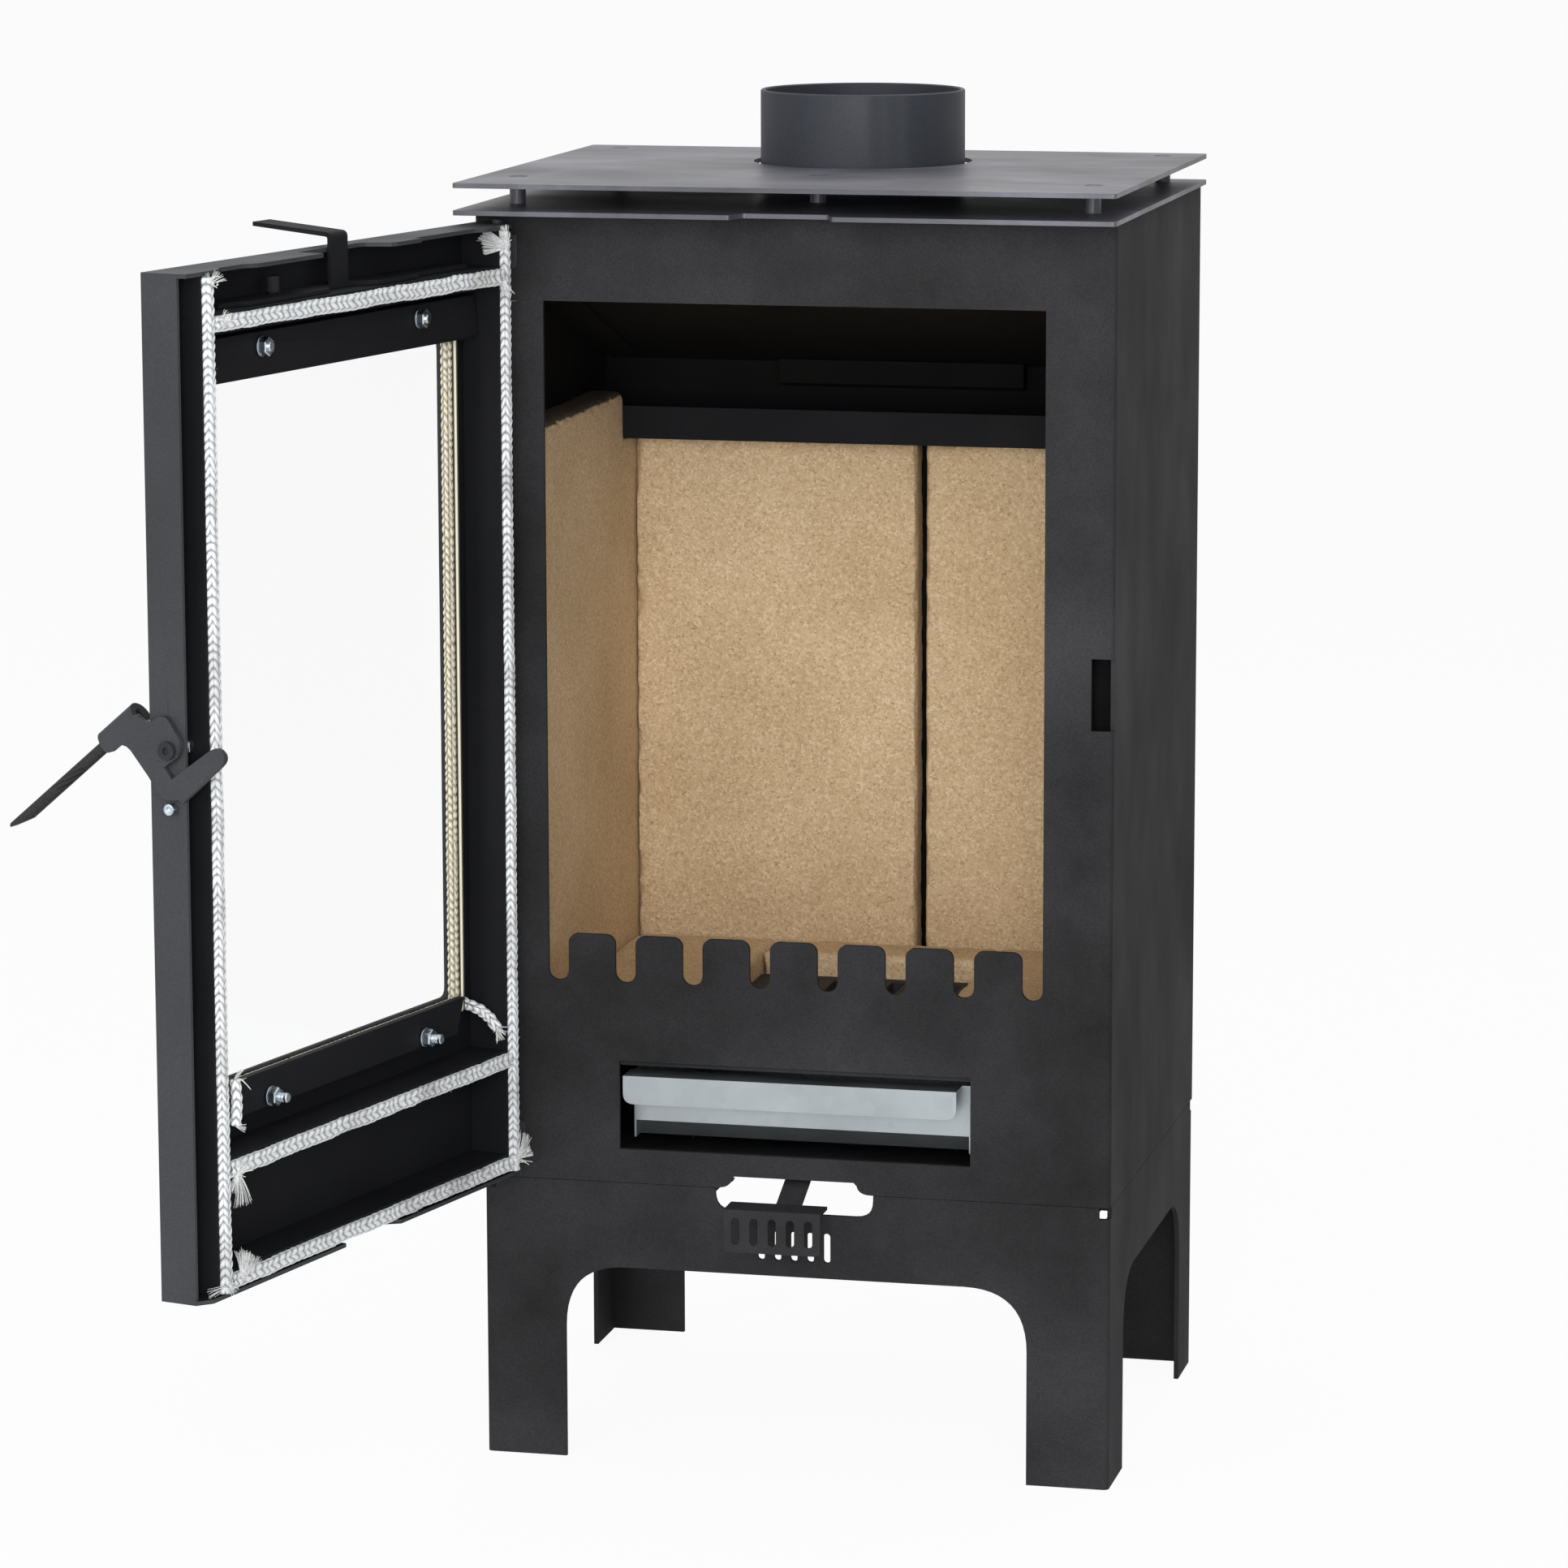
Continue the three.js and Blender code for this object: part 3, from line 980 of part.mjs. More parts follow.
// A shouldered pin: its head is on the lug's far side, its collar between lug and flange, its tip through the flange
function hingePin(up) {
  const disc = (radius, z0, z1) => cylinderZ(HINGE_X, HINGE_Y, radius, Math.min(z0, z1), Math.max(z0, z1), 20);
  const lugNear = up > 0 ? UPPER_LUG_Z + BRACKET_SHEET : LOWER_LUG_Z;
  const lugFar = up > 0 ? UPPER_LUG_Z : LOWER_LUG_Z + BRACKET_SHEET;
  const flange = up > 0 ? DOOR_CEILING : DOOR_FLOOR;
  const tip = flange + up * 2 * DOOR_SHEET;
  const headFace = lugFar - up * CLEAR;
  return join(
    disc(PIN_RADIUS, headFace - up * PIN_HEAD_HEIGHT, tip),
    disc(PIN_COLLAR, headFace - up * PIN_HEAD_HEIGHT, headFace),
    disc(PIN_COLLAR, lugNear + up * CLEAR, flange - up * CLEAR),
  );
}

function hingeScrew(screwZ) {
  const x = SCREW_X;
  const under = -CLEAR - BRACKET_SHEET - CLEAR;
  const head = cylinderY(x, screwZ, SCREW_HEAD, under - SCREW_HEAD_HEIGHT, under, 20);
  const hex = cylinderY(x, screwZ, SCREW_SOCKET, under - SCREW_HEAD_HEIGHT - 1, under - 1, 6);
  return join(cut(head, hex), cylinderY(x, screwZ, SCREW_RADIUS, under - 0.5, under + SCREW_LENGTH, 16));
}

// ---- Door, in its own coordinates: x is a, y is b -----------------------------------------------
// Inner edge of the top flange: shallow air recesses with curved ends, and a deep one for the lever
function topFlangeShape() {
  const edge = TOP_FLANGE_B;
  const shallow = edge - TOP_RECESS_DEPTH;
  const leverRecess = LEVER_B - WASH_SHEET - LEVER_RECESS_DEPTH;
  const leverRun = LEVER_WIDTH / 2 + WASH_TRAVEL;
  const leverFrom = LEVER_MIDDLE_A - leverRun - LEVER_RECESS_GAP;
  const leverTo = LEVER_MIDDLE_A + leverRun + LEVER_RECESS_ROOM;
  const shape = new THREE.Shape();
  const curveTo = (a0, b0, a1, b1) => {
    const middle = (a0 + a1) / 2;
    shape.bezierCurveTo(middle, b0, middle, b1, a1, b1);
  };
  shape.moveTo(DOOR_HINGE_A, DOOR_FACE_B);
  shape.lineTo(DOOR_FREE_A, DOOR_FACE_B);
  shape.lineTo(DOOR_FREE_A, edge);
  shape.lineTo(FREE_RECESS_A, edge);
  curveTo(FREE_RECESS_A, edge, FREE_RECESS_A - RECESS_CURVE, shallow);
  shape.lineTo(FREE_RECESS_END_A + RECESS_CURVE, shallow);
  curveTo(FREE_RECESS_END_A + RECESS_CURVE, shallow, FREE_RECESS_END_A, edge);
  shape.lineTo(leverTo, edge);
  shape.lineTo(leverTo, leverRecess);
  shape.lineTo(leverFrom, leverRecess);
  curveTo(leverFrom, leverRecess, leverFrom - RECESS_CURVE, edge);
  shape.lineTo(HINGE_RECESS_END_A, edge);
  shape.lineTo(HINGE_RECESS_END_A, shallow);
  shape.lineTo(HINGE_RECESS_A + RECESS_CURVE, shallow);
  curveTo(HINGE_RECESS_A + RECESS_CURVE, shallow, HINGE_RECESS_A, edge);
  shape.lineTo(DOOR_HINGE_A + FLANGE_TAPER, edge);
  shape.lineTo(DOOR_HINGE_A, DOOR_INNER_B + FLANGE_TAPER_START);
  shape.closePath();
  return shape;
}

function bottomFlangeShape() {
  const edge = TOP_FLANGE_B;
  return polygon([
    [DOOR_HINGE_A, DOOR_FACE_B],
    [DOOR_FREE_A, DOOR_FACE_B],
    [DOOR_FREE_A, FREE_FLANGE_B],
    [DOOR_FREE_A - BOTTOM_CHAMFER, edge],
    [BOTTOM_NOTCH_TO_A, edge],
    [BOTTOM_NOTCH_TO_A, BOTTOM_NOTCH_B],
    [BOTTOM_NOTCH_FROM_A, BOTTOM_NOTCH_B],
    [BOTTOM_NOTCH_FROM_A - BOTTOM_NOTCH_SLOPE, edge],
    [DOOR_HINGE_A + FLANGE_TAPER, edge],
    [DOOR_HINGE_A, DOOR_INNER_B + FLANGE_TAPER_START],
  ]);
}

function doorPanel() {
  const face = slabXZ(rectangle(DOOR_HINGE_A, DOOR_BOTTOM, DOOR_FREE_A, DOOR_TOP), DOOR_FACE_B, DOOR_INNER_B);
  const window = rectangle(WINDOW_LEFT_A, WINDOW_BOTTOM, WINDOW_RIGHT_A, WINDOW_TOP, WINDOW_CORNER);
  const freeFlange = box(DOOR_FREE_A - DOOR_SHEET, DOOR_FREE_A, DOOR_FACE_B, FREE_FLANGE_B, DOOR_BOTTOM, DOOR_TOP);
  const hingeLip = box(DOOR_HINGE_A, DOOR_HINGE_A + DOOR_SHEET, DOOR_FACE_B, HINGE_LIP_B, DOOR_BOTTOM, DOOR_TOP);
  return cut(
    join(
      face,
      freeFlange,
      hingeLip,
      slabXY(topFlangeShape(), DOOR_CEILING, DOOR_TOP, 5),
      slabXY(bottomFlangeShape(), DOOR_BOTTOM, DOOR_FLOOR),
    ),
    slabXZ(window, DOOR_FACE_B - 1, DOOR_INNER_B + 1, 4),
    cylinderZ(0, 0, PIN_RADIUS + PIN_PLAY, DOOR_BOTTOM - 1, DOOR_TOP + 1, 20),
    cylinderX(LATCH_PIVOT_B, LATCH_PIVOT_Z, STUD_RADIUS + CLEAR, DOOR_FREE_A - 2 * DOOR_SHEET, DOOR_FREE_A + 1, 20),
    cylinderX(LATCH_PIVOT_B, LATCH_PIVOT_Z - STOP_DROP, SCREW_RADIUS + CLEAR, DOOR_FREE_A - 2 * DOOR_SHEET, DOOR_FREE_A + 1, 16),
  );
}

// Section of a rope channel across its length: u across, b deep, with the rope's bed near the mouth
function channelSection() {
  const h = CHANNEL_HALF;
  const t = CHANNEL_WALL;
  const bed = CHANNEL_MOUTH_B - ROPE_BED_DEPTH;
  return polygon([
    [-h, CHANNEL_BASE_B],
    [-h + t, CHANNEL_BASE_B],
    [-h + t, bed - t],
    [h - t, bed - t],
    [h - t, CHANNEL_BASE_B],
    [h, CHANNEL_BASE_B],
    [h, CHANNEL_MOUTH_B],
    [h - t, CHANNEL_MOUTH_B],
    [h - t, bed],
    [-h + t, bed],
    [-h + t, CHANNEL_MOUTH_B],
    [-h, CHANNEL_MOUTH_B],
  ]);
}

function uprightChannel(a) {
  return slabXY(channelSection(), DOOR_FLOOR + CLEAR, DOOR_CEILING - CLEAR).translate([a, 0, 0]);
}

// A channel lying across the door: the same section, turned to run along a
function crossChannel(z) {
  const geometry = new THREE.ExtrudeGeometry(channelSection(), { depth: CROSS_TO_A - CROSS_FROM_A, bevelEnabled: false });
  const turn = new THREE.Matrix4().set(0, 0, 1, CROSS_FROM_A, 0, 1, 0, 0, -1, 0, 0, z, 0, 0, 0, 1);
  return solidOf(geometry.applyMatrix4(turn));
}

// Along the bottom the door's own flange is one wall of the channel, and an angle is the other
function bottomChannel() {
  const t = CHANNEL_WALL;
  const top = ROPE_BOTTOM_Z + ROPE_RADIUS + CLEAR + t;
  const bed = CHANNEL_MOUTH_B - ROPE_BED_DEPTH;
  const shape = polygon([
    [CHANNEL_BASE_B, top - t],
    [bed - t, top - t],
    [bed - t, DOOR_FLOOR + CLEAR],
    [bed, DOOR_FLOOR + CLEAR],
    [bed, top - t],
    [CHANNEL_MOUTH_B, top - t],
    [CHANNEL_MOUTH_B, top],
    [CHANNEL_BASE_B, top],
  ]);
  return slabYZ(shape, CROSS_FROM_A, CROSS_TO_A);
}

// A straight run of rope seal between two points
function ropeRun(from, to) {
  const section = new THREE.Shape();
  section.absarc(0, 0, ROPE_RADIUS, 0, 2 * Math.PI, false);
  const path = new THREE.LineCurve3(new THREE.Vector3(...from), new THREE.Vector3(...to));
  const options = { steps: 8, bevelEnabled: false, extrudePath: path, curveSegments: ROPE_SIDES / 2 };
  return solidOf(new THREE.ExtrudeGeometry(section, options));
}

function uprightRope(a) {
  return ropeRun([a, ROPE_B, DOOR_FLOOR + 1], [a, ROPE_B, DOOR_CEILING - 1]);
}

function crossRope(z) {
  return ropeRun([CROSS_FROM_A, ROPE_B, z], [CROSS_TO_A, ROPE_B, z]);
}

function glassPane() {
  const outline = rectangle(
    WINDOW_LEFT_A - GLASS_MARGIN_A,
    WINDOW_BOTTOM - GLASS_MARGIN_Z,
    WINDOW_RIGHT_A + GLASS_MARGIN_A,
    WINDOW_TOP + GLASS_MARGIN_Z,
    GLASS_CORNER,
  );
  return slabXZ(outline, GLASS_FACE_B, GLASS_FACE_B + GLASS, 3);
}

// Flat woven gasket between the door and the glass, with its spare end left hanging at the lower hinge corner
function glassGasket() {
  const b0 = DOOR_INNER_B + CLEAR;
  const b1 = GLASS_FACE_B - CLEAR;
  const out = GASKET_WIDTH - 1;
  const grow = (d) => rectangle(WINDOW_LEFT_A - d, WINDOW_BOTTOM - d, WINDOW_RIGHT_A + d, WINDOW_TOP + d, WINDOW_CORNER + d);
  const frame = cut(slabXZ(grow(out), b0, b1, 4), slabXZ(grow(-1), b0 - 1, b1 + 1, 4));
  const from = WINDOW_LEFT_A - 6;
  const outer = from - 12;
  const t = b1 - b0;
  const end = b0 + GASKET_TAIL;
  const tail = new THREE.Shape();
  tail.moveTo(from, b0);
  tail.lineTo(from, b1);
  tail.lineTo(outer + 2 * t, b1);
  tail.quadraticCurveTo(outer + t, b1, outer + t, b1 + t);
  tail.quadraticCurveTo(outer + t, b1 + 3 * t, outer + 2 * t, end);
  tail.lineTo(outer + t, end + 1);
  tail.quadraticCurveTo(outer, b1 + 3 * t, outer, b1 + t);
  tail.quadraticCurveTo(outer, b0, outer + t, b0);
  tail.closePath();
  const z = WINDOW_BOTTOM - GASKET_TAIL_WIDTH;
  return join(frame, slabXY(tail, z, z + GASKET_TAIL_WIDTH, 5));
}

// Strip that presses on the glass: flat against its studs, with a lip turned down onto the pane
function clampStrip(a0, a1, z0, z1, lipAtTop) {
  const low = lipAtTop ? BOTTOM_CLAMP_TAPER : 0;
  const high = lipAtTop ? 0 : TOP_CLAMP_TAPER;
  const outline = polygon([[a0 + low, z0], [a1 - low, z0], [a1 - high, z1], [a0 + high, z1]]);
  const strip = slabXZ(outline, CLAMP_B, CLAMP_B + CLAMP_SHEET);
  const lipB = GLASS_FACE_B + GLASS + CLEAR;
  const lip = lipAtTop ? [z1 - CLAMP_SHEET, z1] : [z0, z0 + CLAMP_SHEET];
  const holes = [-1, 1].map((s) => {
    const z = lipAtTop ? BOTTOM_STUD_Z : TOP_STUD_Z;
    const middle = lipAtTop ? WINDOW_MIDDLE_A + BOTTOM_STUD_SHIFT : WINDOW_MIDDLE_A;
    return cylinderY(middle + s * STUD_FROM_MIDDLE, z, STUD_RADIUS + CLEAR, CLAMP_B - 1, CLAMP_B + CLAMP_SHEET + 1, 16);
  });
  return cut(join(strip, box(a0, a1, lipB, CLAMP_B + CLAMP_SHEET, ...lip)), ...holes);
}

function topClamp() {
  return clampStrip(CLAMP_RIGHT_A, CLAMP_LEFT_A, WINDOW_TOP, WINDOW_TOP + TOP_CLAMP_HEIGHT, false);
}

function bottomClamp() {
  const free = WINDOW_RIGHT_A - BOTTOM_CLAMP_INSET;
  return clampStrip(BOTTOM_CLAMP_RIGHT_A, free, BOTTOM_CLAMP_TOP - BOTTOM_CLAMP_HEIGHT, BOTTOM_CLAMP_TOP, true);
}

function hexagon(radius) {
  return new THREE.CylinderGeometry(radius, radius, NUT_THICKNESS, 6);
}

// Stud welded to the door, with its washer and nut run down on the clamp
function clampStud(a, z, endB) {
  const face = CLAMP_B + CLAMP_SHEET + CLEAR;
  const stud = cylinderY(a, z, STUD_RADIUS, CHANNEL_BASE_B, endB, 16);
  const washer = cylinderY(a, z, WASHER_RADIUS, face, face + WASHER_THICKNESS, 24);
  const nutB = face + WASHER_THICKNESS + NUT_THICKNESS / 2 - 0.05;
  const nut = solidOf(hexagon(NUT_ACROSS_FLATS / Math.sqrt(3)).translate(a, nutB, z));
  return join(stud, washer, nut);
}

// ---- Air-wash slider, in the door's coordinates --------------------------------------------------
function washSlider() {
  const t = WASH_SHEET;
  const z = WASH_Z;
  const edge = WASH_INNER_B;
  const low = edge - WASH_WAVE_DEPTH;
  const half = LEVER_WIDTH / 2;
  const left = LEVER_MIDDLE_A + half;
  const right = LEVER_MIDDLE_A - half;
  const back = CHANNEL_BASE_B + 1;
  const lever = LEVER_B;
  const plan = new THREE.Shape();
  const wave = (a0, b0, a1, b1) => plan.bezierCurveTo((a0 + a1) / 2, b0, (a0 + a1) / 2, b1, a1, b1);
  plan.moveTo(WASH_START_A, back);
  plan.lineTo(WASH_END_A, back);
  plan.lineTo(WASH_END_A, low);
  plan.lineTo(FREE_RECESS_END_A + RECESS_CURVE, low);
  wave(FREE_RECESS_END_A + RECESS_CURVE, low, FREE_RECESS_END_A, edge);
  plan.lineTo(left + LEVER_SHOULDER + WASH_WAVE, edge);
  wave(left + LEVER_SHOULDER + WASH_WAVE, edge, left + LEVER_SHOULDER, lever);
  plan.lineTo(right - LEVER_SHOULDER, lever);
  wave(right - LEVER_SHOULDER, lever, right - LEVER_SHOULDER - WASH_WAVE, edge);
  plan.lineTo(HINGE_RECESS_END_A, edge);
  wave(HINGE_RECESS_END_A, edge, HINGE_RECESS_END_A - RECESS_CURVE, low);
  plan.lineTo(WASH_START_A, low);
  plan.closePath();
  const plate = slabXY(plan, z, z + t, 5);
  const a = LEVER_MIDDLE_A + WASH_PIN_A;
  const r = WASH_PIN_RADIUS + CLEAR;
  const run = WASH_TRAVEL + CLEAR;
  const guideSlot = join(
    box(a - run, a + run, WASH_PIN_B - r, WASH_PIN_B + r, z - 1, z + t + 1),
    cylinderZ(a - run, WASH_PIN_B, r, z - 1, z + t + 1, 16),
    cylinderZ(a + run, WASH_PIN_B, r, z - 1, z + t + 1, 16),
  );
  const bend = LEVER_BEND;
  const bar = rounded([
    [lever, z],
    [lever, LEVER_TOP, bend],
    [LEVER_REACH_B, LEVER_TOP + LEVER_RISE],
    [LEVER_REACH_B, LEVER_TOP + LEVER_RISE - t],
    [lever - t, LEVER_TOP - t, bend - t],
    [lever - t, z],
  ]);
  return join(cut(plate, guideSlot), slabYZ(bar, right, left));
}

// Pin that keeps the air-wash slider down on the channel and guides it
function washPin() {
  const a = LEVER_MIDDLE_A + WASH_PIN_A;
  const shoulder = WASH_Z + WASH_SHEET + CLEAR;
  return join(
    cylinderZ(a, WASH_PIN_B, WASH_PIN_RADIUS, WASH_Z, shoulder + 1, 16),
    cylinderZ(a, WASH_PIN_B, WASH_PIN_HEAD, shoulder, shoulder + WASH_PIN_HEIGHT, 16),
  );
}

// ---- Latch, in the door's coordinates ------------------------------------------------------------
// The plate's outline about its pivot: hooked arm into the firebox, handle arm outwards
function latchShape() {
  const b = LATCH_PIVOT_B;
  const z = LATCH_PIVOT_Z;
  const shape = new THREE.Shape();
  const at = (du, dv) => [b + du, z + dv];
  shape.moveTo(...at(-46.1, -0.6));
  shape.lineTo(...at(-24, 18.2));
  shape.quadraticCurveTo(...at(-21, 19.6), ...at(-19.6, 17.6));
  shape.quadraticCurveTo(...at(-14, 12.8), ...at(-8.6, 17.6));
  shape.quadraticCurveTo(...at(-2, 21), ...at(0.6, 16.6));
  shape.lineTo(...at(6.9, 7.4));
  shape.quadraticCurveTo(...at(8.6, 3), ...at(5.6, -4));
  shape.lineTo(...at(-3.4, -10.1));
  shape.lineTo(...at(1.7, -16.6));
  shape.lineTo(...at(27.4, 1.7));
  shape.quadraticCurveTo(...at(33, 5.4), ...at(36.7, 0.2));
  shape.quadraticCurveTo(...at(38.6, -3.6), ...at(34.4, -7.2));
  shape.lineTo(...at(9.1, -29.6));
  shape.quadraticCurveTo(...at(7, -28.6), ...at(LATCH_ARC * Math.cos(-78 * RAD), LATCH_ARC * Math.sin(-78 * RAD)));
  shape.absarc(b, z, LATCH_ARC, -78 * RAD, -98 * RAD, true);
  shape.lineTo(...at(-9.4, -22.1));
  shape.lineTo(...at(-14, -15.8));
  shape.lineTo(...at(-25.6, -1.8));
  shape.quadraticCurveTo(...at(-31, 3.4), ...at(-36.6, -2.4));
  shape.quadraticCurveTo(...at(-40.6, -6.4), ...at(-44.2, -2.8));
  shape.closePath();
  return shape;
}

// Coordinates along the grip: s outwards and down its length, v square to it and upwards, a across the plate.
// They are measured from the point on the grip's axis that is GRIP_START out from the pivot.
function alongGrip(geometry) {
  const slope = GRIP_SLOPE * RAD;
  const bore = GRIP_RADIUS + CLEAR;
  const out = new THREE.Vector3(0, -Math.cos(slope), -Math.sin(slope));
  const up = new THREE.Vector3(0, -Math.sin(slope), Math.cos(slope));
  const side = new THREE.Vector3(1, 0, 0);
  const turn = new THREE.Matrix4().makeBasis(side, up, out);
  const ridge = bore + LATCH_SHEET;
  const sleeveA = LATCH_A - bore;
  const start = [sleeveA, LATCH_PIVOT_B - GRIP_START + ridge * Math.sin(slope), LATCH_PIVOT_Z + SLEEVE_TOP_Z - ridge * Math.cos(slope)];
  return solidOf(geometry.applyMatrix4(turn.setPosition(...start)));
}

// The plate is rolled right over at its outer end, as a sleeve open underneath
function latchPlate() {
  const a0 = LATCH_A;
  const a1 = a0 + LATCH_SHEET;
  const bore = GRIP_RADIUS + CLEAR;
  const outer = bore + LATCH_SHEET;
  const section = new THREE.Shape();
  section.moveTo(outer, -2);
  section.lineTo(outer, 0);
  section.absarc(0, 0, outer, 0, Math.PI, false);
  section.lineTo(-outer, -bore);
  section.lineTo(-bore, -bore);
  section.lineTo(-bore, 0);
  section.absarc(0, 0, bore, Math.PI, 0, true);
  section.lineTo(bore, -2);
  section.closePath();
  const length = (SLEEVE_END - GRIP_START) / Math.cos(GRIP_SLOPE * RAD);
  const sleeve = new THREE.ExtrudeGeometry(section, { depth: length, bevelEnabled: false, curveSegments: 10 });
  return cut(
    join(slabYZ(latchShape(), a0, a1, 4), alongGrip(sleeve)),
    cylinderX(LATCH_PIVOT_B, LATCH_PIVOT_Z, STUD_RADIUS + CLEAR, a0 - 1, a1 + 1, 20),
  );
}

// Round grip held in the sleeve, its end cut to a slant from below
function latchGrip() {
  const length = (GRIP_END - GRIP_START) / Math.cos(GRIP_SLOPE * RAD);
  const r = GRIP_RADIUS;
  const start = 2;
  const rod = new THREE.CylinderGeometry(r, r, length - start, 24).rotateX(Math.PI / 2);
  rod.translate(0, 0, start + (length - start) / 2);
  const wedge = new THREE.Shape();
  wedge.moveTo(length - GRIP_BEVEL, -r - 0.5);
  wedge.lineTo(length + 1, r * GRIP_TIP);
  wedge.lineTo(length + 1, -r - 0.5);
  wedge.closePath();
  const tool = new THREE.ExtrudeGeometry(wedge, { depth: 4 * r, bevelEnabled: false });
  const lay = new THREE.Matrix4().set(0, 0, -1, 2 * r, 0, 1, 0, 0, 1, 0, 0, 0, 0, 0, 0, 1);
  return cut(alongGrip(rod), alongGrip(tool.applyMatrix4(lay)));
}

function latchPivot() {
  const outer = LATCH_A + LATCH_SHEET + CLEAR;
  const head = cylinderX(LATCH_PIVOT_B, LATCH_PIVOT_Z, PIVOT_HEAD, outer, outer + PIVOT_HEAD_HEIGHT, 28);
  const hex = cylinderX(LATCH_PIVOT_B, LATCH_PIVOT_Z, 2.2, outer + 1.2, outer + PIVOT_HEAD_HEIGHT + 1, 6);
  const inner = DOOR_FREE_A - DOOR_SHEET - CLEAR;
  const bushEnd = inner - WASHER_THICKNESS - PIVOT_BUSH_LENGTH;
  const nutEnd = bushEnd - NUT_THICKNESS;
  const disc = (radius, a0, a1, sides) => cylinderX(LATCH_PIVOT_B, LATCH_PIVOT_Z, radius, a0, a1, sides);
  return join(
    cut(head, hex),
    disc(STUD_RADIUS, nutEnd, outer + 1, 20),
    disc(WASHER_RADIUS, inner - WASHER_THICKNESS, inner, 24),
    disc(PIVOT_BUSH_RADIUS, bushEnd - 1, inner - 1, 20),
    disc(NUT_ACROSS_FLATS / Math.sqrt(3), nutEnd, bushEnd, 6),
  );
}

function latchStop() {
  const z = LATCH_PIVOT_Z - STOP_DROP;
  const head = cylinderX(LATCH_PIVOT_B, z, STOP_RADIUS, LATCH_A, LATCH_A + STOP_HEIGHT, 24);
  const hex = cylinderX(LATCH_PIVOT_B, z, 1.5, LATCH_A + STOP_HEIGHT - 2, LATCH_A + STOP_HEIGHT + 1, 6);
  return join(cut(head, hex), cylinderX(LATCH_PIVOT_B, z, SCREW_RADIUS, LATCH_A - 9, LATCH_A + 1, 16));
}

// ---- Assembly ----------------------------------------------------------------------------------
const group = new THREE.Group();
const stove = new THREE.Group();
group.add(stove);

place(stove, "stand", stand(), paint);
place(stove, "casing", casing(), paint);
place(stove, "back_panel", backPanel(), paint);
place(stove, "lower_top_plate", lowerTopPlate(), topPaint);
place(stove, "upper_top_plate", upperTopPlate(), topPaint);
place(stove, "flue_collar", flueCollar(), paint);
place(stove, "hearth_sheet", hearthSheet(), paint);
place(stove, "grate", grate(), castIron);
place(stove, "brick_left", sideBrick(-1), vermiculite);
place(stove, "brick_right", sideBrick(1), vermiculite);
const brickEdge = SIDE_BRICK_FACE - CLEAR;
place(stove, "brick_back_left", backBrick(-brickEdge, BACK_JOINT_X - BACK_JOINT_WIDTH / 2), vermiculite);
place(stove, "brick_back_right", backBrick(BACK_JOINT_X + BACK_JOINT_WIDTH / 2, brickEdge), vermiculite);
const hearthFront = SHEET + CLEAR;
const hearthRear = BACK_BRICK_FACE - CLEAR;
const grateSide = GRATE_HALF_WIDTH + BRICK_JOINT / 2;
place(stove, "brick_hearth_left", hearthBrick(-brickEdge, -grateSide, hearthFront, hearthRear), vermiculite);
place(stove, "brick_hearth_right", hearthBrick(grateSide, brickEdge, hearthFront, hearthRear), vermiculite);
const hearthMiddle = grateSide - BRICK_JOINT;
place(
  stove,
  "brick_hearth_front",
  hearthBrick(-hearthMiddle, hearthMiddle, hearthFront, GRATE_FRONT_Y - BRICK_JOINT),
  vermiculite,
);
place(
  stove,
  "brick_hearth_rear",
  hearthBrick(-hearthMiddle, hearthMiddle, GRATE_REAR_Y + BRICK_JOINT, hearthRear),
  vermiculite,
);
place(stove, "brick_retainer", brickRetainer(), paint);
place(stove, "air_hood", airHood(), paint);
place(stove, "baffle", baffle(), paint);
place(stove, "baffle_rail_left", baffleRail(-1), paint);
place(stove, "baffle_rail_right", baffleRail(1), paint);
place(stove, "ash_floor", ashFloor(), paint);
place(stove, "ash_runner_left", ashRunner(-1), paint);
place(stove, "ash_runner_right", ashRunner(1), paint);
place(stove, "hinge_bracket_upper", hingeBracket(UPPER_LUG_Z, 1), paint);
place(stove, "hinge_bracket_lower", hingeBracket(LOWER_LUG_Z, -1), paint);
place(stove, "hinge_pin_upper", hingePin(1), zinc);
place(stove, "hinge_pin_lower", hingePin(-1), zinc);
place(stove, "hinge_screw_upper", hingeScrew(UPPER_SCREW_Z), zinc);
place(stove, "hinge_screw_lower", hingeScrew(LOWER_SCREW_Z), zinc);
place(stove, "ash_pan", ashPan(), galvanised);
place(stove, "air_slider", airSlider(), paint);

const door = new THREE.Group();
door.position.set(HINGE_X, HINGE_Y, 0);
door.rotation.z = -DOOR_OPEN_DEG * RAD;
stove.add(door);
place(door, "door_panel", doorPanel(), paint);
place(door, "rope_channel_free", uprightChannel(ROPE_LEFT_A), paint);
place(door, "rope_channel_hinge", uprightChannel(ROPE_RIGHT_A), paint);
place(door, "rope_channel_top", crossChannel(ROPE_TOP_Z), paint);
place(door, "rope_channel_middle", crossChannel(ROPE_MIDDLE_Z), paint);
place(door, "rope_channel_bottom", bottomChannel(), paint);
place(door, "rope_free", uprightRope(ROPE_LEFT_A), rope);
place(door, "rope_hinge", uprightRope(ROPE_RIGHT_A), rope);
place(door, "rope_top", crossRope(ROPE_TOP_Z), rope);
place(door, "rope_middle", crossRope(ROPE_MIDDLE_Z), rope);
place(door, "rope_bottom", crossRope(ROPE_BOTTOM_Z), rope);
place(door, "glass_pane", glassPane(), glazing);
place(door, "glass_gasket", glassGasket(), rope);
place(door, "clamp_top", topClamp(), paint);
place(door, "clamp_bottom", bottomClamp(), paint);
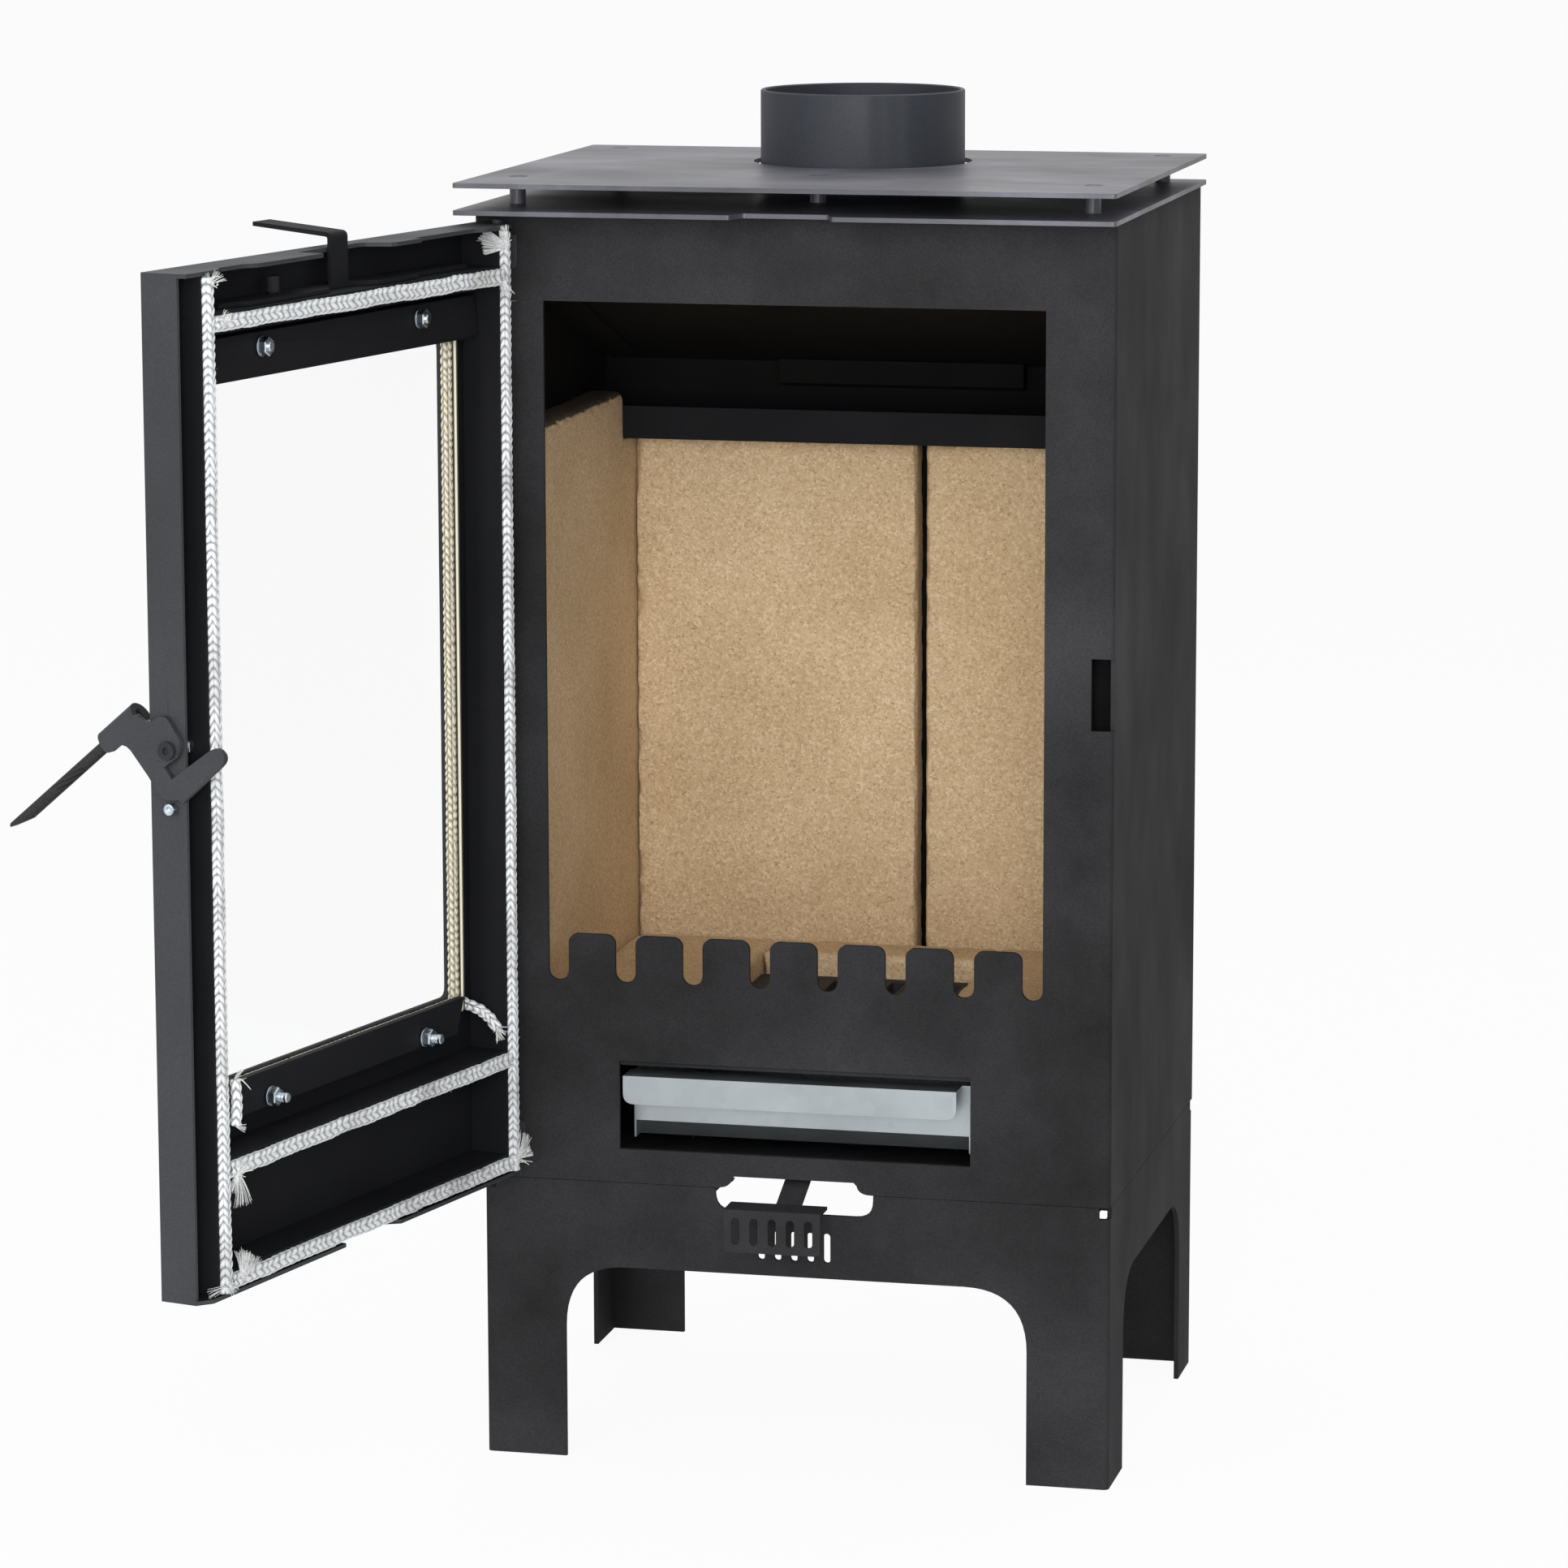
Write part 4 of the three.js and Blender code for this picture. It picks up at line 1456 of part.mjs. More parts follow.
const studRows = [
  ["top", WINDOW_MIDDLE_A, TOP_STUD_Z, TOP_STUD_END_B],
  ["bottom", WINDOW_MIDDLE_A + BOTTOM_STUD_SHIFT, BOTTOM_STUD_Z, BOTTOM_STUD_END_B],
];
for (const [row, rowMiddle, z, end] of studRows) {
  place(door, "clamp_stud_" + row + "_free", clampStud(rowMiddle + STUD_FROM_MIDDLE, z, end), zinc);
  place(door, "clamp_stud_" + row + "_hinge", clampStud(rowMiddle - STUD_FROM_MIDDLE, z, end), zinc);
}
place(door, "latch_pivot", latchPivot(), castIron);
place(door, "latch_stop", latchStop(), zinc);
place(door, "wash_pin", washPin(), zinc);
place(door, "wash_slider", washSlider(), paint);
place(door, "latch_plate", latchPlate(), paint);
place(door, "latch_grip", latchGrip(), castIron);

// The part's origin: on the floor, under the middle of the whole stove with its door open
group.updateMatrixWorld(true);
const extent = new THREE.Box3().setFromObject(stove, true);
const middle = extent.getCenter(new THREE.Vector3());
stove.position.set(-middle.x, -middle.y, -extent.min.z);

export default group;
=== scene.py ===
import json
import math
import random

import bmesh
import bpy
from mathutils import Matrix, Vector, noise


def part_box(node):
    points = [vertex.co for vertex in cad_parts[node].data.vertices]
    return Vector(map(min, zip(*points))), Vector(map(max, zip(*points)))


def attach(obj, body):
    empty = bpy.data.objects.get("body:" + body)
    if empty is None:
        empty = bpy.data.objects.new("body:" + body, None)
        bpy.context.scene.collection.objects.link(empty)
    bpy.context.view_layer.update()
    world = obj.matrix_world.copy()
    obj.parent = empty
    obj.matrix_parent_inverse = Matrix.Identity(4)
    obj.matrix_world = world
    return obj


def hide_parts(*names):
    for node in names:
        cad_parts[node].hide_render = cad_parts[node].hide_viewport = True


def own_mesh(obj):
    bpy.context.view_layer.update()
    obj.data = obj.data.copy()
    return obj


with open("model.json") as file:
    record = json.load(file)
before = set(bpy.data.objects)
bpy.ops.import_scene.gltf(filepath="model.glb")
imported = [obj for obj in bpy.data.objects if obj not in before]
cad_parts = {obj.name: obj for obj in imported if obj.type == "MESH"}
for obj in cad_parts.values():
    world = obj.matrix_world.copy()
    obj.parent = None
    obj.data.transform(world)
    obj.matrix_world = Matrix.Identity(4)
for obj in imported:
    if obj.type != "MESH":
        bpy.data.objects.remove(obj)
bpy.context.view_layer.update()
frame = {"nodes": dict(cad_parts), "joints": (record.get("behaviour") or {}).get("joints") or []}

# ---- Camera ------------------------------------------------------------------------------------
# A long lens in front of the stove, a little to its right and above it. Its place is measured from
# the middle of the casing's front at floor level.
scene = bpy.context.scene
casing_low, casing_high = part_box("casing")
front_middle = Vector(((casing_low.x + casing_high.x) / 2, casing_low.y, 0.0))
azimuth, elevation, roll = math.radians(13.19), math.radians(10.07), math.radians(-0.13)
forward = Vector((
    -math.sin(azimuth) * math.cos(elevation),
    math.cos(azimuth) * math.cos(elevation),
    -math.sin(elevation),
))
camera = bpy.data.objects.new("camera", bpy.data.cameras.new("camera"))
scene.collection.objects.link(camera)
scene.camera = camera
camera.data.sensor_width = 36.0
camera.data.lens = 140.09
camera.data.clip_start = 0.1
camera.data.clip_end = 100.0
camera.location = front_middle + Vector((0.8389, -3.6037, 1.0951))
facing = forward.to_track_quat("-Z", "Y").to_matrix()
camera.rotation_euler = (facing @ Matrix.Rotation(roll, 3, "Z")).to_euler()


# ---- Room: floor, daylight and soft lamps ------------------------------------------------------
# A pale matt studio floor without an edge, which keeps the stove's shadow. Everything beyond it is
# white. Three large lamps stand in front, as soft as windows, and one hangs above the back.
def linear(code):
    """A colour written as sRGB hex, as the linear values a shader socket takes."""
    channels = [int(code[i:i + 2], 16) / 255 for i in (1, 3, 5)]
    return [c / 12.92 if c <= 0.04045 else ((c + 0.055) / 1.055) ** 2.4 for c in channels] + [1.0]


def add_node(tree, kind, inputs=None, **settings):
    """A shader node with its settings, its constants and its links."""
    node = tree.nodes.new("ShaderNode" + kind)
    for name, value in settings.items():
        setattr(node, name, value)
    for name, value in (inputs or {}).items():
        if isinstance(value, bpy.types.NodeSocket):
            tree.links.new(value, node.inputs[name])
        else:
            node.inputs[name].default_value = value
    return node


def new_material(name):
    """A material whose surface is one Principled shader; gives the material, its nodes and that shader."""
    material = bpy.data.materials.new(name)
    material.use_nodes = True
    tree = material.node_tree
    tree.nodes.clear()
    shader = add_node(tree, "BsdfPrincipled")
    add_node(tree, "OutputMaterial", {"Surface": shader.outputs[0]})
    return material, tree, shader


def ramp(tree, factor, stops):
    """A colour ramp over (position, hex) stops."""
    node = add_node(tree, "ValToRGB", {"Fac": factor})
    while len(node.color_ramp.elements) < len(stops):
        node.color_ramp.elements.new(0.5)
    for element, (position, code) in zip(node.color_ramp.elements, stops):
        element.position = position
        element.color = linear(code)
    return node.outputs["Color"]


def set_inputs(shader, **values):
    """Constants and links of the Principled shader, by its socket names with _ for a space."""
    for name, value in values.items():
        socket = shader.inputs[name.replace("_", " ")]
        if isinstance(value, bpy.types.NodeSocket):
            shader.id_data.links.new(value, socket)
        else:
            socket.default_value = value


def background_rays(tree):
    """1 for the rays that may see the white background: camera, mirror and clear ones."""
    path = add_node(tree, "LightPath")
    seen = path.outputs["Is Camera Ray"]
    for kind in ("Is Glossy Ray", "Is Transmission Ray"):
        seen = add_node(tree, "Math", {0: seen, 1: path.outputs[kind]}, operation="MAXIMUM").outputs[0]
    return seen


FLOOR_REACH = 30.0
floor_mesh = bmesh.new()
bmesh.ops.create_grid(floor_mesh, x_segments=1, y_segments=1, size=FLOOR_REACH)
floor_data = bpy.data.meshes.new("floor")
floor_mesh.to_mesh(floor_data)
floor_mesh.free()
floor = bpy.data.objects.new("floor", floor_data)
scene.collection.objects.link(floor)

# Matt paint: no shine, and under the glow of the white background only the shadow is left to see.
WHITE_SHARE = 0.94
floor_paint, tree, shader = new_material("matt white floor paint")
set_inputs(shader, Base_Color=linear("#e4e4e4"), Roughness=0.95, Specular_IOR_Level=0.1)
glow = add_node(tree, "Emission", {"Color": [1, 1, 1, 1], "Strength": 1.0})
share = add_node(tree, "Math", {0: background_rays(tree), 1: WHITE_SHARE}, operation="MULTIPLY")
mixed = add_node(tree, "MixShader", {0: share.outputs[0], 1: shader.outputs[0], 2: glow.outputs[0]})
tree.links.new(mixed.outputs[0], tree.nodes["Material Output"].inputs["Surface"])
floor_data.materials.append(floor_paint)

world = bpy.data.worlds.new("studio")
scene.world = world
world.use_nodes = True
sky = world.node_tree
sky.nodes.clear()
soft_light = add_node(sky, "Background", {"Color": linear("#f4f6f8"), "Strength": 0.5})
white = add_node(sky, "Background", {"Color": [1, 1, 1, 1], "Strength": 1.0})
either = add_node(sky, "MixShader", {0: background_rays(sky), 1: soft_light.outputs[0], 2: white.outputs[0]})
add_node(sky, "OutputWorld", {"Surface": either.outputs[0]})

STOVE_HEART = Vector((0, 0.1, 0.45))  # what the lamps point at
lamps = [
    ("key_lamp", (1.1, -3.0, 2.0), 1.9, 46.0),
    ("fill_lamp", (-1.6, -3.0, 1.7), 2.0, 44.0),
    ("hearth_lamp", (0.5, -3.3, 0.8), 1.3, 48.0),
    ("top_lamp", (0.2, 0.9, 3.0), 2.4, 26.0),
]
for name, place, size, watts in lamps:
    lamp = bpy.data.lights.new(name, "AREA")
    lamp.shape = "SQUARE"
    lamp.size = size
    lamp.energy = watts
    lamp_object = bpy.data.objects.new(name, lamp)
    lamp_object.location = front_middle + Vector(place)
    aim = front_middle + STOVE_HEART - lamp_object.location
    lamp_object.rotation_euler = aim.to_track_quat("-Z", "Y").to_euler()
    scene.collection.objects.link(lamp_object)
scene.view_settings.view_transform = "Standard"


# ---- Painted steel: stand, casing, back and small folded parts ---------------------------------
# Cold-rolled sheet, laser cut and folded, sprayed with heat-resistant stove paint. The paint dries
# matt and slightly grainy, greys a little where it has been handled, and its edges catch the light.
# Some faces carry paler or darker copies of it as painted light and shade.
PAINT_GRAIN = 0.0009
MERGE = 0.00002  # points closer than this are one


def stove_paint(name, dark, light, rough, sheen_patches, specular=0.2):
    """Matt sprayed paint: clouds of two near blacks, a fine grain, and patches that shine a little more."""
    material, tree, shader = new_material(name)
    place = add_node(tree, "TexCoord").outputs["Object"]
    clouds = add_node(tree, "TexNoise", {"Vector": place, "Scale": 5.0, "Detail": 6.0, "Roughness": 0.6})
    grain = add_node(tree, "TexNoise", {"Vector": place, "Scale": 1 / PAINT_GRAIN, "Detail": 2.0})
    streaks = add_node(tree, "Mapping", {"Vector": place, "Scale": (16.0, 16.0, 9.0)})
    rubbed = add_node(tree, "TexNoise", {"Vector": streaks.outputs[0], "Scale": 1.0, "Detail": 4.0})
    base = ramp(tree, clouds.outputs["Fac"], [(0.3, dark), (0.72, light)])
    speckle = ramp(tree, grain.outputs["Fac"], [(0.35, "#c4c4c4"), (0.7, "#ffffff")])
    tinted = add_node(tree, "Mix", {0: 0.7, 6: base, 7: speckle}, data_type="RGBA", blend_type="MULTIPLY")
    dullest, shiniest = rough + 0.06, rough - sheen_patches
    shine = add_node(tree, "MapRange", {0: rubbed.outputs["Fac"], 1: 0.35, 2: 0.7, 3: dullest, 4: shiniest})
    bump = add_node(tree, "Bump", {"Height": grain.outputs["Fac"], "Strength": 0.3, "Distance": 0.00012})
    set_inputs(shader, Base_Color=tinted.outputs[2], Roughness=shine.outputs[0])
    set_inputs(shader, Normal=bump.outputs[0], Specular_IOR_Level=specular)
    return material


# The outside is a dry charcoal, clouded by the spray. Inner faces are blacker and bluer, as painted
# shade. Where hands go, and on the door's faces turned to the lamps, the paint is paler and shines a
# little: wear and painted light. Over the fire it is a dead black: soot and painted shade.
black_paint = stove_paint("heat-resistant paint, sprayed matt black", "#1e1e1f", "#3c3c3e", 0.78, 0.07, 0.1)
inner_shade_paint = stove_paint(
    "heat-resistant paint, unweathered on inner faces", "#0e0f12", "#17181c", 0.7, 0.05, 0.14
)
handled_and_lit_paint = stove_paint(
    "heat-resistant paint, rubbed to a satin by handling", "#2a2c2f", "#3a3c3f", 0.6, 0.08, 0.28
)
soot_and_shade_paint = stove_paint("heat-resistant paint, sooted", "#0c0c0c", "#161615", 0.85, 0.03, 0.1)


def dress(material, *nodes, edge=0.0004):
    """Gives CAD nodes their finish, and a small round on their folded and cut edges."""
    for name in nodes:
        node = frame["nodes"][name]
        node.data.materials.clear()
        node.data.materials.append(material)
        if edge:
            weld = node.modifiers.new("weld", "WELD")
            weld.merge_threshold = MERGE
            rounding = node.modifiers.new("edge round", "BEVEL")
            rounding.width = edge
            rounding.segments = 2
            rounding.limit_method = "ANGLE"
            rounding.angle_limit = math.radians(38)
            rounding.use_clamp_overlap = True


def second_finish(material, name, picks):
    """Gives the faces that a test of their centre and normal picks another finish."""
    data = frame["nodes"][name].data
    data.materials.append(material)
    for face in data.polygons:
        if picks(face.center, face.normal):
            face.material_index = len(data.materials) - 1


dress(black_paint, "stand", "casing", "back_panel", "hearth_sheet", "ash_floor", "air_slider")
dress(black_paint, "ash_runner_left", "ash_runner_right")
dress(handled_and_lit_paint, "hinge_bracket_upper", "hinge_bracket_lower", edge=0.0007)
# Over the fire the hood, baffle and rails take the dead black: soot and painted shade.
dress(soot_and_shade_paint, "air_hood", "baffle", "baffle_rail_left", "baffle_rail_right")
# Inner pieces of the door and firebox take the blacker, bluer paint as painted shade.
dress(inner_shade_paint, "brick_retainer", "clamp_top", "clamp_bottom", "wash_slider")
for place in ("free", "hinge", "top", "middle", "bottom"):
    dress(inner_shade_paint, "rope_channel_" + place, edge=0.0002)


BEHIND_FRONT = 0.005  # past the casing's front sheet


def inside_casing_sides(at, normal):
    """True for the inner skins of the casing's two sides."""
    aside = at.x - front_middle.x
    return at.y > casing_low.y + BEHIND_FRONT and -normal.x * aside > 0.5 * abs(aside)


# The casing's inner sides and the back panel's face towards the fire take it too: soot and painted shade.
second_finish(soot_and_shade_paint, "casing", inside_casing_sides)
second_finish(soot_and_shade_paint, "back_panel", lambda at, normal: normal.y < -0.5)


# ---- Top plates --------------------------------------------------------------------------------
# Two loose-looking flat plates held apart by distance pieces. They are sprayed thinly over rolled
# sheet, so the rolling scale shows through as bluish cloudy patches. Their paler greys are partly
# painted sheen: the bright room that the plates reflect at a low angle.
top_paint, tree, shader = new_material("heat-resistant paint, thin over rolled steel")
place = add_node(tree, "TexCoord").outputs["Object"]
scale_and_sheen_clouds = {"Vector": place, "Scale": 6.5, "Detail": 7.0, "Roughness": 0.6, "Distortion": 1.1}
clouds = add_node(tree, "TexNoise", scale_and_sheen_clouds)
wipes = add_node(tree, "Mapping", {"Vector": place, "Rotation": (0, 0, 0.5), "Scale": (4.0, 9.0, 4.0)})
smear = add_node(tree, "TexNoise", {"Vector": wipes.outputs[0], "Scale": 2.2, "Detail": 5.0})
grain = add_node(tree, "TexNoise", {"Vector": place, "Scale": 1 / PAINT_GRAIN, "Detail": 2.0})
# The clouds run from the paint's own dark grey up to a pale bluish grey: mill scale and painted sheen.
base = ramp(tree, clouds.outputs["Fac"], [(0.3, "#34343c"), (0.5, "#48484f"), (0.7, "#62626d")])
shine = add_node(tree, "MapRange", {0: smear.outputs["Fac"], 1: 0.3, 2: 0.7, 3: 0.5, 4: 0.38})
bump = add_node(tree, "Bump", {"Height": grain.outputs["Fac"], "Strength": 0.25, "Distance": 0.0001})
set_inputs(shader, Base_Color=base, Roughness=shine.outputs[0], Normal=bump.outputs[0], Metallic=0.15)
dress(top_paint, "lower_top_plate", "upper_top_plate")


# ---- Flue collar -------------------------------------------------------------------------------
# A strip of 3 mm sheet rolled to a ring and welded shut. The ends stayed a little straight, which
# leaves a flat up the front right of the collar.
def piece(name, mesh, material, body, nodes=(), smooth=35):
    """Turns a finished bmesh into a piece of the stove that rides on a body and may stand for CAD nodes."""
    data = bpy.data.meshes.new(name)
    mesh.to_mesh(data)
    mesh.free()
    data.materials.append(material)
    if smooth:
        data.polygons.foreach_set("use_smooth", [True] * len(data.polygons))
        data.set_sharp_from_angle(angle=math.radians(smooth))
    thing = bpy.data.objects.new(name, data)
    scene.collection.objects.link(thing)
    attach(thing, body)
    if nodes:
        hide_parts(*nodes)
    return thing


def spun(profile, sides, close=True):
    """A turned shape: a profile of (radius, height) points spun round the Z axis."""
    mesh = bmesh.new()
    points = [mesh.verts.new((r, 0, z)) for r, z in profile]
    edges = [mesh.edges.new(pair) for pair in zip(points, points[1:])]
    if close:
        edges.append(mesh.edges.new((points[-1], points[0])))
    bmesh.ops.spin(
        mesh,
        geom=points + edges,
        axis=(0, 0, 1),
        cent=(0, 0, 0),
        angle=math.tau,
        steps=sides,
        use_merge=True,
    )
    bmesh.ops.remove_doubles(mesh, verts=mesh.verts, dist=0.00001)
    bmesh.ops.recalc_face_normals(mesh, faces=mesh.faces)
    return mesh


collar_low, collar_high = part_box("flue_collar")
collar_radius = (collar_high.x - collar_low.x) / 2
collar_wall = 0.003
lip = 0.0007
SEAM_TURN = math.radians(-63)
SEAM_HALF = math.radians(11)
DEEPEST_FLAT = 0.985
collar = spun(
    [
        (collar_radius - collar_wall, collar_low.z),
        (collar_radius, collar_low.z),
        (collar_radius, collar_high.z - lip),
        (collar_radius - lip, collar_high.z),
        (collar_radius - collar_wall + lip, collar_high.z),
        (collar_radius - collar_wall, collar_high.z - lip),
    ],
    144,
)
for vert in collar.verts:
    turn = math.atan2(vert.co.y, vert.co.x) - SEAM_TURN
    if abs(turn) < SEAM_HALF:
        flat = math.cos(SEAM_HALF) / math.cos(turn)
        vert.co.xy *= max(flat, DEEPEST_FLAT)
bmesh.ops.translate(collar, verts=collar.verts, vec=((collar_low + collar_high) / 2).xy.to_3d())
# On smooth strip the same paint dries to a satin, so the collar carries a soft upright highlight.
collar_paint = stove_paint(
    "heat-resistant paint, sprayed satin on rolled strip", "#262a31", "#31343c", 0.55, 0.06, 0.3
)
piece("collar_ring", collar, collar_paint, "stove", ["flue_collar"], smooth=25)


# ---- Plug welds on the upper plate -------------------------------------------------------------
# Each distance piece is a short bar welded into a hole in the upper plate. The weld was ground off
# from above, and its ring still stands a little proud and pale under the paint.
plate_low, plate_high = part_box("upper_top_plate")
half_x = (plate_high.x - plate_low.x) / 2 - 0.025
front_row, middle_row, rear_row = 0.062, 0.105, plate_high.y - plate_low.y - 0.024
marks = [(0.0, middle_row)]
for x in (-half_x, half_x):
    marks += [(x, front_row), (x, rear_row)]
weld_paint = stove_paint("heat-resistant paint over ground weld", "#2e2e34", "#55555e", 0.45, 0.1)
for number, (x, y) in enumerate(marks):
    ring = spun([(0.0032, 0.0), (0.0038, 0.0002), (0.0052, 0.0002), (0.006, 0.0)], 24, close=False)
    bmesh.ops.translate(ring, verts=ring.verts, vec=(front_middle.x + x, plate_low.y + y, plate_high.z))
    for vert in ring.verts:
        spot = vert.co * 400
        vert.co.xy += Vector((noise.noise(spot), noise.noise(spot + Vector((9, 0, 0))))) * 0.0008
    piece(f"plug_weld_{number}", ring, weld_paint, "stove")


# ---- Vermiculite boards ------------------------------------------------------------------------
# Pressed from expanded mica flakes of 1 to 4 mm in gold and brown. The boards are soft, so every
# edge is a little ragged. The tops of the side boards are drawn darker.
FLAKE = 0.0016
# The eye gets a sandy speckle of matt flakes, here gold and there brown, with shadow between them.
board_stuff, tree, shader = new_material("vermiculite board, pressed flakes")
place = add_node(tree, "TexCoord").outputs["Object"]
warp = add_node(tree, "TexNoise", {"Vector": place, "Scale": 300.0, "Detail": 2.0})
one_flake = (FLAKE, FLAKE, FLAKE)
bent = add_node(tree, "VectorMath", {0: warp.outputs["Color"], 1: one_flake}, operation="MULTIPLY")
spread = add_node(tree, "VectorMath", {0: place, 1: bent.outputs[0]}, operation="ADD")
flakes = add_node(tree, "TexVoronoi", {"Vector": spread.outputs[0], "Scale": 1 / FLAKE, "Randomness": 1.0})
crumbs = add_node(tree, "TexVoronoi", {"Vector": spread.outputs[0], "Scale": 2.3 / FLAKE, "Randomness": 1.0})
clouds = add_node(tree, "TexNoise", {"Vector": place, "Scale": 11.0, "Detail": 5.0})
value = add_node(tree, "SeparateColor", {0: flakes.outputs["Color"]})
crumb_value = add_node(tree, "SeparateColor", {0: crumbs.outputs["Color"]})
flake_colour = ramp(
    tree,
    value.outputs[0],
    [(0.0, "#a68c69"), (0.14, "#bda27e"), (0.4, "#c9af8c"), (0.75, "#d1b895"), (0.95, "#e6d3b5")],
)
crumb_colour = ramp(
    tree,
    crumb_value.outputs[0],
    [(0.0, "#6f5a40"), (0.07, "#a98f6c"), (0.18, "#c9af8c"), (1.0, "#d5bc9a")],
)
both = add_node(tree, "Mix", {0: 0.5, 6: flake_colour, 7: crumb_colour}, data_type="RGBA")
tone = ramp(tree, clouds.outputs["Fac"], [(0.3, "#eeebe5"), (0.7, "#ffffff")])
toned = add_node(tree, "Mix", {0: 1.0, 6: both.outputs[2], 7: tone}, data_type="RGBA", blend_type="MULTIPLY")
# The last few millimetres below the side boards' top are darkened to a near black brown, up to a ragged line.
height = add_node(tree, "SeparateXYZ", {0: place}).outputs["Z"]
side_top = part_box("brick_left")[1].z
crumble = add_node(tree, "TexNoise", {"Vector": place, "Scale": 160.0, "Detail": 3.0})
reach = add_node(tree, "Math", {0: crumble.outputs["Fac"], 1: 0.004, 2: height}, operation="MULTIPLY_ADD")
darkening_from, darkening_full = side_top - 0.0014, side_top - 0.0002
top_darkening = add_node(tree, "MapRange", {0: reach.outputs[0], 1: darkening_from, 2: darkening_full, 3: 0.0, 4: 0.9})
top_dark_colour = linear("#2b2621")
darkened_top = add_node(tree, "Mix", {0: top_darkening.outputs[0], 6: toned.outputs[2], 7: top_dark_colour}, data_type="RGBA")
relief = add_node(tree, "Math", {0: flakes.outputs["Distance"], 1: crumb_value.outputs[0]}, operation="ADD")
bump = add_node(tree, "Bump", {"Height": relief.outputs[0], "Strength": 0.55, "Distance": 0.0005})
set_inputs(shader, Base_Color=darkened_top.outputs[2], Roughness=0.9)
set_inputs(shader, Normal=bump.outputs[0], Specular_IOR_Level=0.25)

BOARD_GRID = 0.0024
RAGGED = 0.006
JOINT_BACK, JOINT_WANDER = 0.0016, 0.0012  # the upright joint of the back boards gapes unevenly
boards = [
    "brick_left",
    "brick_right",
    "brick_back_left",
    "brick_back_right",
    "brick_hearth_left",
    "brick_hearth_right",
    "brick_hearth_front",
    "brick_hearth_rear",
]
for number, name in enumerate(boards):
    low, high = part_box(name)
    blank = bpy.data.objects.new(name + "_blank", frame["nodes"][name].data.copy())
    scene.collection.objects.link(blank)
    blank.modifiers.new("weld", "WELD").merge_threshold = MERGE
    crush = blank.modifiers.new("crush", "REMESH")
    crush.mode = "VOXEL"
    crush.voxel_size = BOARD_GRID
    evaluated = blank.evaluated_get(bpy.context.evaluated_depsgraph_get())
    board = bmesh.new()
    board.from_mesh(evaluated.to_mesh())
    evaluated.to_mesh_clear()
    bpy.data.objects.remove(blank)
    for vert in board.verts:
        reach = sorted(min(vert.co[k] - low[k], high[k] - vert.co[k]) for k in range(3))
        near_edge = max(0.0, 1 - reach[1] / RAGGED)
        seed = Vector((number * 3.1, 0, 0))
        chip = max(0.0, noise.noise(vert.co * 95 + seed) + 0.15)
        fine = abs(noise.noise(vert.co * 290 + seed))
        wear_and_groove_shade = near_edge * (0.0003 + 0.0021 * chip + 0.0009 * fine) + 0.00012 * fine
        for k in range(3):
            if vert.co[k] - low[k] < RAGGED:
                vert.co[k] += wear_and_groove_shade
            elif high[k] - vert.co[k] < RAGGED:
                vert.co[k] -= wear_and_groove_shade
    if name == "brick_back_left":
        for vert in board.verts:
            if high.x - vert.co.x < RAGGED:
                vert.co.x -= JOINT_BACK + JOINT_WANDER * noise.noise(Vector((0, 0, vert.co.z * 14)))
    title = name.replace("brick", "board")
    made = piece(title, board, board_stuff, "stove", [name], smooth=50)
    # The pocket that the latch's hook swings into gets the dead black paint inside: painted shade in the
    # recess.
    if name == "brick_right":  # the pocket that the latch's hook swings into is dark inside
        made.data.materials.append(soot_and_shade_paint)
        for face in made.data.polygons:
            from_low, from_high = face.center - low, high - face.center
            in_from_low = from_low.x > 0.003 and min(from_low.y, from_low.z) > 0.002
            if in_from_low and from_high.x > 0.002 and min(from_high.y, from_high.z) > 0.003:
                face.material_index = 1


# ---- Grate -------------------------------------------------------------------------------------
# One casting of grey iron, laid loose on the edge of the hearth's opening. The sand it was cast in
# left a coarse, nearly black skin with little shine.
cast_iron, tree, shader = new_material("grey iron, sand cast")
place = add_node(tree, "TexCoord").outputs["Object"]
sand = add_node(tree, "TexNoise", {"Vector": place, "Scale": 700.0, "Detail": 4.0, "Roughness": 0.7})
clouds = add_node(tree, "TexNoise", {"Vector": place, "Scale": 30.0, "Detail": 4.0})
base = ramp(tree, clouds.outputs["Fac"], [(0.35, "#1d1d1f"), (0.7, "#2f2e2e")])
bump = add_node(tree, "Bump", {"Height": sand.outputs["Fac"], "Strength": 0.6, "Distance": 0.0004})
set_inputs(shader, Base_Color=base, Roughness=0.72, Metallic=0.3, Normal=bump.outputs[0])
dress(cast_iron, "grate", edge=0.0008)


# ---- Ash pan -----------------------------------------------------------------------------------
# Folded from thin hot-dip galvanised sheet. The zinc froze in spangles of about 8 mm, which show
# only as a faint change of grey and of shine under a haze.
SPANGLE = 0.008
galvanised, tree, shader = new_material("galvanised steel, spangled")
place = add_node(tree, "TexCoord").outputs["Object"]
spangle = add_node(tree, "TexVoronoi", {"Vector": place, "Scale": 1 / SPANGLE, "Randomness": 1.0})
facets = add_node(tree, "SeparateColor", {0: spangle.outputs["Color"]})
haze = add_node(tree, "TexNoise", {"Vector": place, "Scale": 14.0, "Detail": 5.0})
base = ramp(tree, facets.outputs[0], [(0.0, "#989ea1"), (1.0, "#9da3a6")])
shine = add_node(tree, "MapRange", {0: facets.outputs[1], 1: 0.0, 2: 1.0, 3: 0.36, 4: 0.39})
hazed = add_node(tree, "Math", {0: shine.outputs[0], 1: haze.outputs["Fac"]}, operation="MULTIPLY")
rough = add_node(tree, "Math", {0: hazed.outputs[0], 1: 0.16}, operation="ADD")
bump = add_node(tree, "Bump", {"Height": haze.outputs["Fac"], "Strength": 0.15, "Distance": 0.0006})
